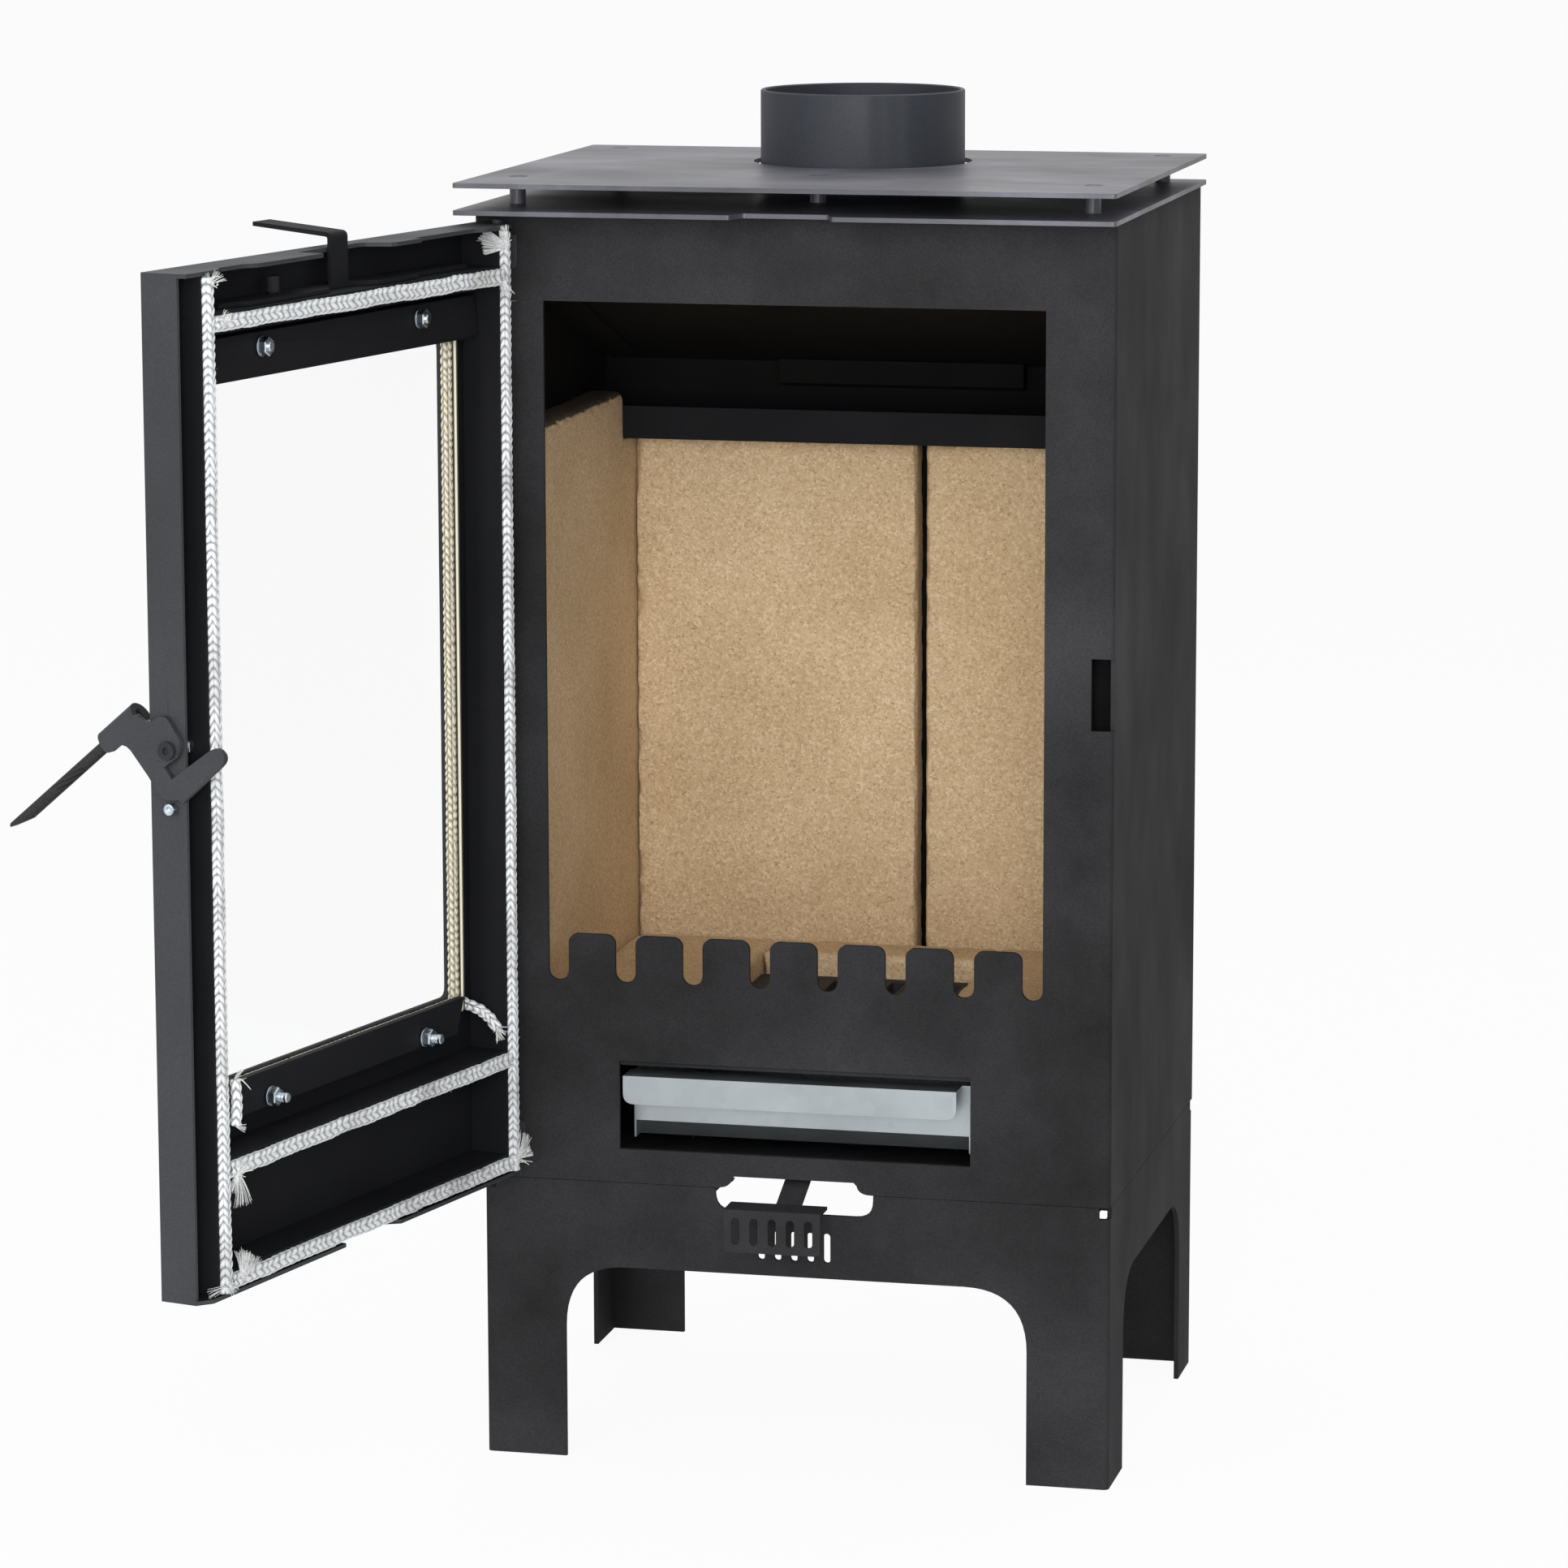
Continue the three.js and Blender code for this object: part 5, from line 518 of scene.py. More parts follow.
set_inputs(shader, Base_Color=base, Metallic=0.85, Roughness=rough.outputs[0], Normal=bump.outputs[0])
dress(galvanised, "ash_pan", edge=0.00048)


# ---- Door pan ----------------------------------------------------------------------------------
# One sheet of steel, cut out for the window and folded back round its edges. It stands open on the
# left; the door's pieces are all made as if it were shut, from the hinge's line (x along the door, y
# into the firebox), and turned out with it.
hinge = next(joint for joint in frame["joints"] if joint["name"] == "door_hinge")
DOOR_OPEN = math.radians(104.1)
hinge_foot = Matrix.Translation((hinge["pos_m"][0], hinge["pos_m"][1], 0.0))
door_turn = hinge_foot @ Matrix.Rotation(-DOOR_OPEN, 4, "Z")
into_shut = door_turn.inverted()


def door_box(name):
    """The lowest and highest corner of one of the door's nodes, in the shut door's directions."""
    corners = [into_shut @ v.co for v in frame["nodes"][name].data.vertices]
    return [Vector([pick(c[k] for c in corners) for k in range(3)]) for pick in (min, max)]


panel_low, panel_high = door_box("door_panel")
OUTER_SKIN = 0.002


def on_door_outside(at, normal):
    """True for the door pan's front and the outer skins of its folded sides, which hands touch and which face
    the lamps: their paler paint is wear and painted light.
    """
    spot = into_shut @ at
    from_outline = min(min(spot[k] - panel_low[k], panel_high[k] - spot[k]) for k in (0, 2))
    return from_outline < OUTER_SKIN or (into_shut.to_3x3() @ normal).y < -0.5


# The door's inner faces take the darker paint as painted shade, its outer faces the paler one as painted
# light.
dress(inner_shade_paint, "door_panel")
second_finish(handled_and_lit_paint, "door_panel", on_door_outside)


# ---- Rope seals --------------------------------------------------------------------------------
# Glass-fibre rope, knitted round in chevrons and pressed into the channels. The casing has pressed a
# flat along it, and loose fibres stand off it.
# White yarn with a dull sheen: its stitches show by the shadow in the grooves between them.
knitted, tree, shader = new_material("glass-fibre rope, knitted")
place = add_node(tree, "TexCoord").outputs["Object"]
depth = add_node(tree, "Attribute", attribute_name="depth").outputs["Fac"]
fibres = add_node(tree, "TexNoise", {"Vector": place, "Scale": 1400.0, "Detail": 2.0})
grime = add_node(tree, "TexNoise", {"Vector": place, "Scale": 22.0, "Detail": 5.0})
yarn = ramp(tree, depth, [(0.0, "#54575b"), (0.22, "#989b9f"), (0.5, "#c9ccce"), (1.0, "#e1e3e2")])
dull = ramp(tree, grime.outputs["Fac"], [(0.32, "#c9c8c4"), (0.5, "#ffffff")])
dirty = add_node(tree, "Mix", {0: 0.8, 6: yarn, 7: dull}, data_type="RGBA", blend_type="MULTIPLY")
bump = add_node(tree, "Bump", {"Height": fibres.outputs["Fac"], "Strength": 0.4, "Distance": 0.00025})
set_inputs(shader, Base_Color=dirty.outputs[2], Roughness=0.85, Normal=bump.outputs[0], Sheen_Weight=0.25)

# The same yarn opened into single fibres, which look paler and a little glossier.
loose_fibre, tree, shader = new_material("glass-fibre yarn, frayed")
place = add_node(tree, "TexCoord").outputs["Object"]
wisp = add_node(tree, "TexNoise", {"Vector": place, "Scale": 900.0})
fibre_colour = ramp(tree, wisp.outputs["Fac"], [(0.35, "#b9bbba"), (0.65, "#dfe0de")])
set_inputs(shader, Base_Color=fibre_colour, Roughness=0.7)


def tube_along(path, rings, sides, radius):
    """A tube rolled from a grid round a path; radius(distance, turn) gives its surface. Ends are closed."""
    mesh = bmesh.new()
    bmesh.ops.create_grid(mesh, x_segments=sides, y_segments=rings, size=0.5)
    layer = mesh.verts.layers.float.new("depth")
    total = sum((q - p).length for p, q in zip(path, path[1:]))
    frames = []
    side = Vector((0, 1, 0))
    for k in range(rings + 1):
        t = k / rings * (len(path) - 1)
        i = min(int(t), len(path) - 2)
        point = path[i].lerp(path[i + 1], t - i)
        before, after = path[max(i - 1, 0)], path[min(i + 2, len(path) - 1)]
        along = (after - before).normalized()
        side = (side - along * side.dot(along)).normalized()
        frames.append((point, side, along.cross(side)))
    for vert in mesh.verts:
        k = round((vert.co.y + 0.5) * rings)
        turn = (vert.co.x + 0.5) * math.tau
        point, u, v = frames[k]
        reach, shade = radius(k / rings * total, turn)
        vert.co = point + (u * math.cos(turn) + v * math.sin(turn)) * reach
        vert[layer] = shade
    bmesh.ops.remove_doubles(mesh, verts=mesh.verts, dist=0.00002)
    ends = [edge for edge in mesh.edges if edge.is_boundary]
    bmesh.ops.holes_fill(mesh, edges=ends, sides=0)
    bmesh.ops.recalc_face_normals(mesh, faces=mesh.faces)
    return mesh


def join_into(target, other):
    """Adds one bmesh to another."""
    data = bpy.data.meshes.new("part")
    other.to_mesh(data)
    other.free()
    target.from_mesh(data)
    bpy.data.meshes.remove(data)


def knit(radius, pitch, groove, apex=0.0, columns=3):
    """A knitted rope's surface: chevrons of slanting stitches round it, with a groove along every joint."""
    def surface(distance, turn):
        column = turn / math.tau * columns + apex
        across = abs(column % 1.0 - 0.5) * 2
        phase = distance / pitch + 0.8 * across + 0.37 * int(column % columns)
        phase += 0.4 * noise.noise(Vector((distance * 90, across, pitch * 900)))
        stitch = abs(math.sin(math.pi * phase))
        joint = max(across, 1 - across) ** 7
        relief = stitch * (1 - groove * joint)
        swell = noise.noise(Vector((distance * 45, turn * 0.5, radius * 1000)))
        return radius * (1 + 0.05 * swell) - 0.001 * (1 - relief), relief
    return surface


strand_shape = bmesh.new()
bmesh.ops.create_cone(strand_shape, cap_ends=True, segments=4, radius1=1.0, radius2=0.6, depth=1.0)
lengthwise = [e for e in strand_shape.edges if abs(e.verts[0].co.z - e.verts[1].co.z) > 0.5]
bmesh.ops.subdivide_edges(strand_shape, edges=lengthwise, cuts=3)
strand_mesh = bpy.data.meshes.new("strand")
strand_shape.to_mesh(strand_mesh)
strand_shape.free()


def add_strand(tuft, root, lead, curl, length, thickness):
    """Adds one fibre or yarn that leaves its root along lead and bends over towards curl."""
    first = len(tuft.verts)
    tuft.from_mesh(strand_mesh)
    tuft.verts.ensure_lookup_table()
    lay = lead.to_track_quat("Z", "Y")
    for vert in tuft.verts[first:]:
        t = vert.co.z + 0.5
        round_it = lay @ Vector((vert.co.x, vert.co.y, 0)) * thickness
        vert.co = root + round_it + (lead * t + curl * t * t) * length


def any_way(rng, size):
    """A random direction, bell-shaped in length."""
    return Vector([rng.gauss(0, size) for _ in range(3)])


def fan(tuft, rng, root, lead, flat, fibres, length, open_by, thickness=0.00016):
    """A cut yarn end opened like a paint brush: fibres side by side in one plane, cut off blunt."""
    lead = lead.normalized()
    flat = (flat - lead * flat.dot(lead)).normalized()
    bend = any_way(rng, 0.12)
    for k in range(fibres):
        aside = (k + 0.5) / fibres * 2 - 1
        out = (lead + flat * (aside * open_by) + any_way(rng, 0.025)).normalized()
        start = root + flat * (aside * 0.0009) + any_way(rng, 0.0002)
        curl = bend + flat * aside * 0.1
        add_strand(tuft, start, out, curl, length * rng.uniform(0.88, 1.0), thickness)


def stubs(tuft, rng, root, lead, count, length, spread, thickness=0.0004):
    """Short thick yarn ends that stand out of the knit."""
    for _ in range(count):
        out = (lead.normalized() + any_way(rng, spread)).normalized()
        start, curl = root + any_way(rng, 0.0014), any_way(rng, 0.5)
        add_strand(tuft, start, out, curl, length * rng.uniform(0.4, 0.8), thickness)


def door_piece(name, mesh, material, nodes=(), smooth=60, body="door"):
    """A piece made on the shut door, turned out to where the open door stands."""
    bmesh.ops.transform(mesh, matrix=door_turn, verts=mesh.verts)
    return piece(name, mesh, material, body, nodes, smooth)


ROPE_RADIUS = 0.00425
# The real stitch is about 5 mm. On the cross ropes, which are seen at a low angle, it is drawn
# longer, or it would not show.
UPRIGHT_STITCH, CROSS_STITCH = 0.0052, 0.0066
CROSS_SPARE = 0.0018  # the cross ropes were cut this much too long at each end
RING_STEP = 0.0006  # along a rope's mesh
FLUFF_STEP = 0.009  # from one loose fibre to the next
PRESSED = 0.0014  # depth of rope that the shut casing flattens
CHANNEL_RIM = door_box("rope_channel_top")[1].y
CHANNEL_HALF_MOUTH = 0.0044
SEAL_FACE = casing_low.y - hinge["pos_m"][1]  # the casing's front, which has pressed a flat on the ropes
# For each rope: its axis, its stitch, how far its chevrons are turned round it, and its thickness at
# its two ends as a share of the channel's.
ropes = {
    "rope_free": (2, UPRIGHT_STITCH, 0.0, 1.1, 1.02),
    "rope_hinge": (2, UPRIGHT_STITCH, 0.0, 1.02, 0.98),
    "rope_top": (0, CROSS_STITCH, 0.33, 1.22, 1.12),
    "rope_middle": (0, CROSS_STITCH, 0.33, 1.12, 1.18),
    "rope_bottom": (0, CROSS_STITCH, 0.33, 1.05, 1.12),
}
rng = random.Random(11)
for name, (axis, stitch, apex, first_size, last_size) in ropes.items():
    low, high = door_box(name)
    start, end = (low + high) / 2, (low + high) / 2
    start[axis], end[axis] = low[axis], high[axis]
    if axis == 0:
        start[axis] -= CROSS_SPARE
        end[axis] += CROSS_SPARE
    count = 60
    path = []
    for k in range(count + 1):
        point = start.lerp(end, k / count)
        loose = math.sin(math.pi * k / count) ** 0.3
        for other in {0, 1, 2} - {axis}:
            shift = noise.noise(Vector((k * 0.36, other * 7.7, len(name) * 1.3)))
            point[other] += shift * (0.0005 if other == 1 else 0.001) * loose
        path.append(point)
    length = (end - start).length
    tube = tube_along(path, round(length / RING_STEP), 36, knit(ROPE_RADIUS, stitch, 0.6, apex))
    side = 2 - axis
    press_from = SEAL_FACE - PRESSED
    for vert in tube.verts:
        t = (vert.co[axis] - start[axis]) / length
        size = first_size + (last_size - first_size) * min(max(t, 0), 1)
        off = vert.co[side] - (low[side] + high[side]) / 2
        off *= size
        vert.co.y += (size - 1) * ROPE_RADIUS
        if vert.co.y < CHANNEL_RIM + 0.0005:
            off = min(max(off, -CHANNEL_HALF_MOUTH), CHANNEL_HALF_MOUTH)
        if vert.co.y > press_from:
            vert.co.y = press_from + (vert.co.y - press_from) * 0.35
        vert.co[side] = (low[side] + high[side]) / 2 + off
    door_piece(name + "_knit", tube, knitted, [name], smooth=180)
    hairs = bmesh.new()
    for _ in range(round(length / FLUFF_STEP)):
        k = rng.uniform(0.01, 0.99) * count
        point = path[int(k)].lerp(path[int(k) + 1], k % 1)
        lean = any_way(rng, 1)
        lean[1] = abs(lean[1])
        lean.normalize()
        along = any_way(rng, 0.6)
        along[axis] += rng.choice((-1.2, 1.2))
        root = point + lean * (ROPE_RADIUS - 0.0009)
        curl, reach = any_way(rng, 0.5), rng.uniform(0.0015, 0.003)
        add_strand(hairs, root, (lean + along).normalized(), curl, reach, 0.00007)
    for vert in hairs.verts:
        vert.co.y = min(vert.co.y, SEAL_FACE - 0.0003)
    door_piece(name + "_fluff", hairs, loose_fibre, (), smooth=0)


# ---- Frayed ends -------------------------------------------------------------------------------
# Each rope was cut with scissors after it was laid. Its yarns have opened into flat brushes of
# fibre, blunt at the tip, with a few thick yarn stubs between them.
def rope_end(name, high_end, back=0.0):
    """The end of a rope, or a point some way back from it."""
    low, high = door_box(name)
    point = (low + high) / 2
    axis = ropes[name][0]
    point[axis] = high[axis] - back if high_end else low[axis] + back
    return point


TOWARDS_HINGE, INWARDS, UP = Vector((-1, 0, 0)), Vector((0, 1, 0)), Vector((0, 0, 1))
CHANNEL_FLOOR = door_box("rope_top")[0].y


def lies_down(thing):
    """Fibres that stand out past the seal would be laid flat by the shutting door; here such a piece only
    gets its own copy of its mesh.
    """
    reach = max((into_shut @ vert.co).y for vert in thing.data.vertices) - CHANNEL_FLOOR
    room = SEAL_FACE - 0.0004 - CHANNEL_FLOOR
    if reach > room:
        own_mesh(thing)


BESIDE_BRACKET = 0.01  # from the hinge's line, where the space beside its bracket begins
TOWARDS_VIEW = Vector((0.89, 0.45, 0))  # the brushes are spread flat to the eye
# For each end: where it is, its brushes (the way they lie as towards the free edge, inwards and up,
# then fibres, length and spread) and its stubs (how many, their length and the way they lie).
brushes = {
    "top_of_hinge_rope": (
        rope_end("rope_hinge", True, 0.009) + Vector((0.002, 0.003, 0)),
        [
            (0.1, -0.15, 1.0, 30, 0.014, 0.16),
            (0.8, -0.6, 0.75, 34, 0.017, 0.13),
            (1.0, -0.6, -0.1, 38, 0.0145, 0.2),
        ],
        (12, 0.005, (0.5, 0.1, 0.6)),
    ),
    "top_of_free_rope": (
        rope_end("rope_free", True, 0.003) + Vector((0, 0.003, 0)),
        [(-0.3, 0.6, 0.7, 14, 0.007, 0.5), (0.5, -0.4, 0.5, 12, 0.005, 0.5)],
        (18, 0.005, (0.0, 0.4, 0.7)),
    ),
    "top_rope_free_end": (
        rope_end("rope_top", True, 0.003) + Vector((0, 0.005, 0.003)),
        [(-0.3, 0.5, 1.0, 10, 0.006, 0.3), (-0.5, 0.4, -0.6, 12, 0.007, 0.4)],
        (14, 0.006, (0.0, 0.6, -0.5)),
    ),
    "top_rope_hinge_end": (
        rope_end("rope_top", False, 0.003) + Vector((0, 0.005, -0.002)),
        [(0.2, 0.3, -0.9, 18, 0.010, 0.3)],
        (10, 0.004, (0.5, -0.1, -0.6)),
    ),
    "middle_rope_free_end": (
        rope_end("rope_middle", True, 0.004) + Vector((0, 0.003, -0.003)),
        [
            (-0.4, 0.2, -1.0, 40, 0.018, 0.14),
            (0.3, -0.1, -1.0, 26, 0.014, 0.12),
            (-0.3, 0.4, 0.7, 22, 0.008, 0.4),
        ],
        (22, 0.006, (-0.6, 0.5, 0.6)),
    ),
    "bottom_rope_free_end": (
        rope_end("rope_bottom", True, 0.006) + Vector((0, 0.004, 0.001)),
        [(0.0, 0.1, 1.0, 34, 0.018, 0.16), (-0.6, 0.3, 1.0, 40, 0.017, 0.3)],
        (12, 0.005, (0.3, 0.6, 0.2)),
    ),
    "foot_of_hinge_rope": (
        rope_end("rope_hinge", False, 0.008) + Vector((0.001, 0.003, 0)),
        [
            (-0.35, 0.5, 0.9, 22, 0.015, 0.16),
            (-0.5, 0.7, 0.45, 20, 0.012, 0.14),
            (0.35, 0.1, -1.0, 20, 0.008, 0.12),
        ],
        (20, 0.007, (-0.3, 0.6, 0.3)),
    ),
    "foot_of_free_rope": (
        rope_end("rope_free", False, 0.004) + Vector((0, 0.003, 0)),
        [(0.8, -0.4, -0.1, 12, 0.016, 0.1), (0.3, 0.6, -0.3, 12, 0.006, 0.4)],
        (14, 0.005, (0.2, 0.7, -0.2)),
    ),
}
for name, (root, fans, (count, length, lead)) in brushes.items():
    tuft = bmesh.new()
    for towards_free, inwards, up, fibres, reach, open_by in fans:
        way = Vector((towards_free, inwards, up))
        fan(tuft, rng, root, way, way.cross(TOWARDS_VIEW), fibres, reach, open_by)
    stubs(tuft, rng, root, Vector(lead), count, length, 0.6)
    for vert in tuft.verts:
        past = BESIDE_BRACKET - vert.co.x
        if past > 0:  # the hinge's bracket holds these fibres back
            vert.co.x = BESIDE_BRACKET - 0.3 * past
    lies_down(door_piece(name, tuft, loose_fibre, (), smooth=0))

# A leftover piece of rope stands on end beside the free rope, above the middle one.
scrap_foot = rope_end("rope_middle", True, 0.003) + Vector((0, 0.003, 0.026))
scrap_path = [scrap_foot + UP * (0.027 * k / 12) + INWARDS * 0.0012 * math.sin(k / 4) for k in range(13)]
scrap = tube_along(scrap_path, 80, 28, knit(0.0034, UPRIGHT_STITCH, 0.6))
lies_down(door_piece("rope_scrap", scrap, knitted, (), smooth=180))
scrap_tuft = bmesh.new()
fan(scrap_tuft, rng, scrap_path[-1], Vector((-0.2, 0.5, 1.0)), TOWARDS_HINGE, 14, 0.007, 0.4)
fan(scrap_tuft, rng, scrap_path[0], Vector((-0.5, 0.6, -0.5)), TOWARDS_HINGE, 14, 0.008, 0.4)
stubs(scrap_tuft, rng, scrap_path[-1], Vector((-0.8, 0.8, -0.6)), 3, 0.008, 0.3)
lies_down(door_piece("rope_scrap_ends", scrap_tuft, loose_fibre, (), smooth=0))


# ---- Glass and its gasket ----------------------------------------------------------------------
# A pane of clear 4 mm glass ceramic with ground edges, bedded on a cream woven gasket that shows
# through it round the window. The gasket's spare end curls out at the lower hinge corner.
# Clean and colourless: all but the faintest gleam of it is left to what stands behind.
clear_glass, tree, shader = new_material("glass ceramic, polished")
set_inputs(shader, Base_Color=linear("#fbfdfd"), Roughness=0.0, IOR=1.46, Transmission_Weight=1.0, Alpha=0.03)
dress(clear_glass, "glass_pane", edge=0.0)
# The ground edge is painted: dark bands of painted shadow, where the gasket's edge shades it, and a
# bright line of painted light along it, where light from inside the pane comes out.
pane_low, pane_high = door_box("glass_pane")
ground_edge, tree, shader = new_material("glass ceramic, ground edge")
place = add_node(tree, "TexCoord").outputs["Object"]
shut_way = add_node(tree, "Mapping", {"Vector": place, "Rotation": (0, 0, DOOR_OPEN)})
inwards_at = add_node(tree, "SeparateXYZ", {0: shut_way.outputs[0]}).outputs["Y"]
hinge_at = (Matrix.Rotation(DOOR_OPEN, 3, "Z") @ Vector(hinge["pos_m"])).y
through = add_node(tree, "MapRange", {0: inwards_at, 1: hinge_at + pane_low.y, 2: hinge_at + pane_high.y})
edge_light_and_shadow = ramp(
    tree,
    through.outputs[0],
    [(0.0, "#26241d"), (0.28, "#3a362b"), (0.4, "#e6e0cc"), (0.7, "#d8d2bd"), (0.8, "#26241d")],
)
set_inputs(shader, Base_Color=edge_light_and_shadow, Roughness=0.5, IOR=1.46)
second_finish(ground_edge, "glass_pane", lambda at, normal: abs((into_shut.to_3x3() @ normal).y) < 0.5)

# Cream yarn, browner and darker in the joints of its weave: painted shade, drawn from their depth.
woven, tree, shader = new_material("glass-fibre gasket, woven")
place = add_node(tree, "TexCoord").outputs["Object"]
depth = add_node(tree, "Attribute", attribute_name="depth").outputs["Fac"]
yarn = ramp(tree, depth, [(0.0, "#4a4436"), (0.3, "#958d78"), (0.6, "#cbc3ac"), (1.0, "#e2dccb")])
fibres = add_node(tree, "TexNoise", {"Vector": place, "Scale": 1600.0, "Detail": 2.0})
bump = add_node(tree, "Bump", {"Height": fibres.outputs["Fac"], "Strength": 0.35, "Distance": 0.0002})
set_inputs(shader, Base_Color=yarn, Roughness=0.85, Normal=bump.outputs[0], Sheen_Weight=0.2)

inset = 0.004
bed = pane_low.y - 0.0017  # the tape's middle, between the pane and the door's front
corners = [
    Vector((pane_low.x + inset, bed, pane_low.z + inset)),
    Vector((pane_high.x - inset, bed, pane_low.z + inset)),
    Vector((pane_high.x - inset, bed, pane_high.z - inset)),
    Vector((pane_low.x + inset, bed, pane_high.z - inset)),
]


def pressed(surface, squeeze):
    """The same surface, squeezed flat across its second direction."""
    def flatter(distance, turn):
        reach, shade = surface(distance, turn)
        return reach * math.hypot(math.cos(turn) * squeeze, math.sin(turn)), shade
    return flatter


GASKET_STITCH = 0.005
gasket = bmesh.new()
for first, last in zip(corners, corners[1:] + corners[:1]):
    steps = [first.lerp(last, k / 20) for k in range(21)]
    run = (last - first).length
    tape = pressed(knit(0.0047, GASKET_STITCH, 0.7, 0.0, 4), 0.3)
    join_into(gasket, tube_along(steps, round(run / 0.0007), 32, tape))
tail_root = corners[0]
tail = [
    tail_root + Vector((0.001, 0.0, 0.002)),
    tail_root + Vector((-0.007, 0.0002, 0.001)),
    tail_root + Vector((-0.0128, 0.003, -0.002)),
    tail_root + Vector((-0.0168, 0.009, -0.0055)),
    tail_root + Vector((-0.018, 0.0155, -0.0105)),
    tail_root + Vector((-0.0178, 0.021, -0.017)),
]
door_piece("gasket_weave", gasket, woven, ["glass_gasket"], smooth=180)
tail_weave = tube_along(tail, 110, 32, pressed(knit(0.0037, UPRIGHT_STITCH, 0.6), 0.85))
door_piece("gasket_tail", tail_weave, knitted, ["glass_gasket"], smooth=180)
tail_tuft = bmesh.new()
stubs(tail_tuft, rng, tail[-1], Vector((-0.1, 0.7, -0.6)), 16, 0.006, 0.35)
fan(tail_tuft, rng, tail[-1], Vector((0.2, 0.3, -1.0)), INWARDS, 14, 0.007, 0.3)
door_piece("gasket_tail_brush", tail_tuft, loose_fibre, (), smooth=0)


# ---- Studs, washers and nuts -------------------------------------------------------------------
# Bright zinc-plated M6 studs welded to the door, with flat washers and hexagon nuts that hold the
# two clamps. The plating is bluish and picks up the room.
zinc, tree, shader = new_material("zinc plate, bright blue passivated")
place = add_node(tree, "TexCoord").outputs["Object"]
haze = add_node(tree, "TexNoise", {"Vector": place, "Scale": 180.0, "Detail": 3.0})
base = ramp(tree, haze.outputs["Fac"], [(0.35, "#aeb7c0"), (0.7, "#ccd4dc")])
rough = add_node(tree, "MapRange", {0: haze.outputs["Fac"], 1: 0.3, 2: 0.7, 3: 0.22, 4: 0.36})
set_inputs(shader, Base_Color=base, Metallic=1.0, Roughness=rough.outputs[0])

STUD = 0.003
THREAD = 0.001
WASHER = 0.006
WASHER_SHEET = 0.0012


def threaded(bottom, top, radius):
    """A threaded stem with a chamfered tip, as (radius, height) points on and off the thread's crests."""
    profile = [(0.0, bottom), (radius, bottom)]
    turns = int((top - bottom - 0.001) / THREAD)
    for k in range(turns):
        z = bottom + k * THREAD
        root = radius - 0.00035
        profile += [(radius, z + THREAD * 0.2), (root, z + THREAD * 0.55), (radius, z + THREAD * 0.95)]
    profile += [(radius, top - 0.0006), (radius - 0.0006, top), (0.0, top)]
    return spun(profile, 20, close=False)


def hexagon_nut(across_flats, bottom, thickness):
    """A hexagon nut with its corners chamfered on both faces."""
    nut = bmesh.new()
    radius = across_flats / math.sqrt(3)
    bmesh.ops.create_cone(nut, cap_ends=True, segments=6, radius1=radius, radius2=radius, depth=thickness)
    rims = [e for e in nut.edges if abs(e.verts[0].co.z - e.verts[1].co.z) < 0.0001]
    bmesh.ops.bevel(nut, geom=rims, offset=0.0006, segments=1, profile=0.5, affect="EDGES", material=-1)
    bmesh.ops.translate(nut, verts=nut.verts, vec=(0, 0, bottom + thickness / 2))
    return nut


into_door = Matrix.Rotation(math.radians(-90), 4, "X")
face = door_box("clamp_top")[1].y
for name in ("top_free", "top_hinge", "bottom_free", "bottom_hinge"):
    node = "clamp_stud_" + name
    low, high = door_box(node)
    centre = (low + high) / 2
    seat = face + 0.0003
    hardware = threaded(low.y, high.y, STUD)
    top = seat + WASHER_SHEET
    washer = [
        (STUD + 0.0003, seat),
        (WASHER - 0.0003, seat),
        (WASHER, seat + 0.0003),
        (WASHER, top - 0.0002),
        (WASHER - 0.0003, top),
        (STUD + 0.0003, top),
    ]
    join_into(hardware, spun(washer, 32))
    join_into(hardware, hexagon_nut(0.01, top + 0.00005, 0.0048))
    onto_door = Matrix.Translation((centre.x, 0, centre.z)) @ into_door
    bmesh.ops.transform(hardware, matrix=onto_door, verts=hardware.verts)
    door_piece(node + "_hardware", hardware, zinc, [node], smooth=30)


# ---- Hinges, stop screw and guide pin ----------------------------------------------------------
# Turned pins and socket screws. The stop screw beside the latch is bright, the rest were painted
# over with the casing and have worn a little since.
dress(zinc, "latch_stop", edge=0.0003)
for place in ("upper", "lower"):
    dress(handled_and_lit_paint, "hinge_screw_" + place, "hinge_pin_" + place, edge=0.0003)
dress(black_paint, "wash_pin", edge=0.0003)


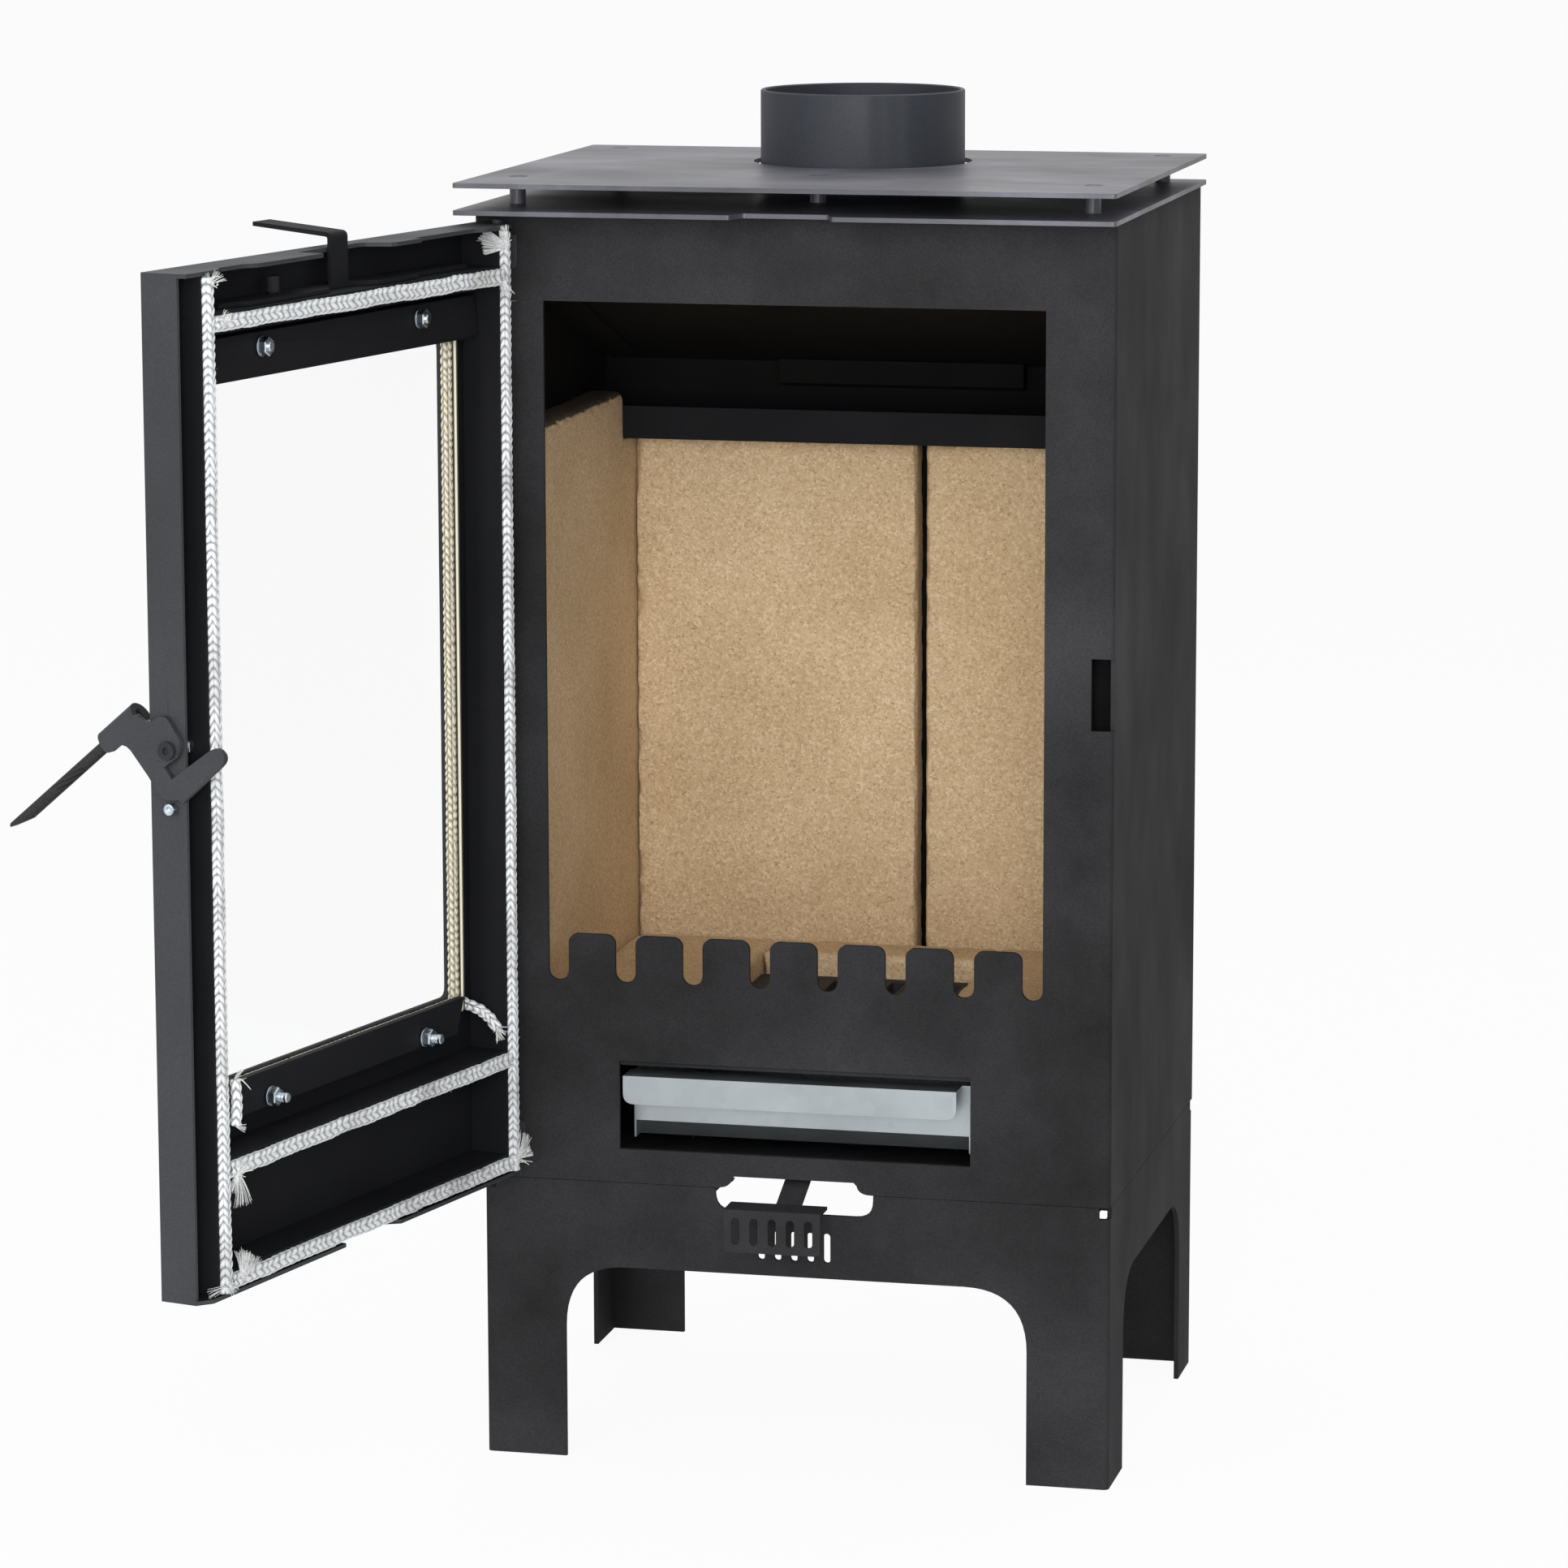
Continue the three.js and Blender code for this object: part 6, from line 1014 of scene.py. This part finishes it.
# ---- Latch -------------------------------------------------------------------------------------
# A plate of 4 mm steel with a hook, rolled at its outer end into a sleeve over a round grip. The
# grip has a band of slanting grooves, and its end is cut to a chisel. The pivot bolt's head was
# painted with the door; its shank, inside, is bright.
dress(handled_and_lit_paint, "latch_plate", edge=0.0006)
dress(black_paint, "latch_pivot", edge=0.0004)
second_finish(zinc, "latch_pivot", lambda at, normal: (into_shut @ at).x < panel_high.x)

# Stained nearly black and left matt, with its grain as faint streaks along it.
grip_stuff, tree, shader = new_material("hardwood grip, stained black")
place = add_node(tree, "TexCoord").outputs["Object"]
lengthwise = {"Vector": place, "Rotation": (0.64, 0.0, 0.0), "Scale": (900.0, 60.0, 900.0)}
along = add_node(tree, "Mapping", lengthwise)
streaks = add_node(tree, "TexNoise", {"Vector": along.outputs[0], "Scale": 1.0, "Detail": 4.0})
base = ramp(tree, streaks.outputs["Fac"], [(0.3, "#121212"), (0.7, "#272625")])
# The slanting grooves are not cut in the mesh: near-black lines in a band round the grip are painted shade
# standing for them.
GROOVE_PITCH = 0.0024
GROOVES_LOW, GROOVES_HIGH = 0.483, 0.497  # heights above the floor, with the latch at rest
over_door = door_turn.to_3x3() @ Vector((0.0, -0.42, 0.906)) * (math.tau / GROOVE_PITCH)
ripple = add_node(tree, "VectorMath", {0: place, 1: over_door}, operation="DOT_PRODUCT")
wave = add_node(tree, "Math", {0: ripple.outputs["Value"]}, operation="SINE")
height = add_node(tree, "SeparateXYZ", {0: place}).outputs["Z"]
band = add_node(
    tree,
    "Math",
    {0: height, 1: (GROOVES_LOW + GROOVES_HIGH) / 2, 2: (GROOVES_HIGH - GROOVES_LOW) / 2},
    operation="COMPARE",
)
cut = add_node(tree, "Math", {0: wave.outputs[0], 1: band.outputs[0]}, operation="MULTIPLY")
wear_and_groove_shade = add_node(tree, "MapRange", {0: cut.outputs[0], 1: 0.1, 2: 0.8})
grooved = add_node(tree, "Mix", {0: wear_and_groove_shade.outputs[0], 6: base, 7: linear("#050505")}, data_type="RGBA")
bump = add_node(tree, "Bump", {"Height": streaks.outputs["Fac"], "Strength": 0.5, "Distance": 0.0003})
set_inputs(shader, Base_Color=grooved.outputs[2], Roughness=0.62)
set_inputs(shader, Normal=bump.outputs[0], Specular_IOR_Level=0.3)
dress(grip_stuff, "latch_grip", edge=0.0006)
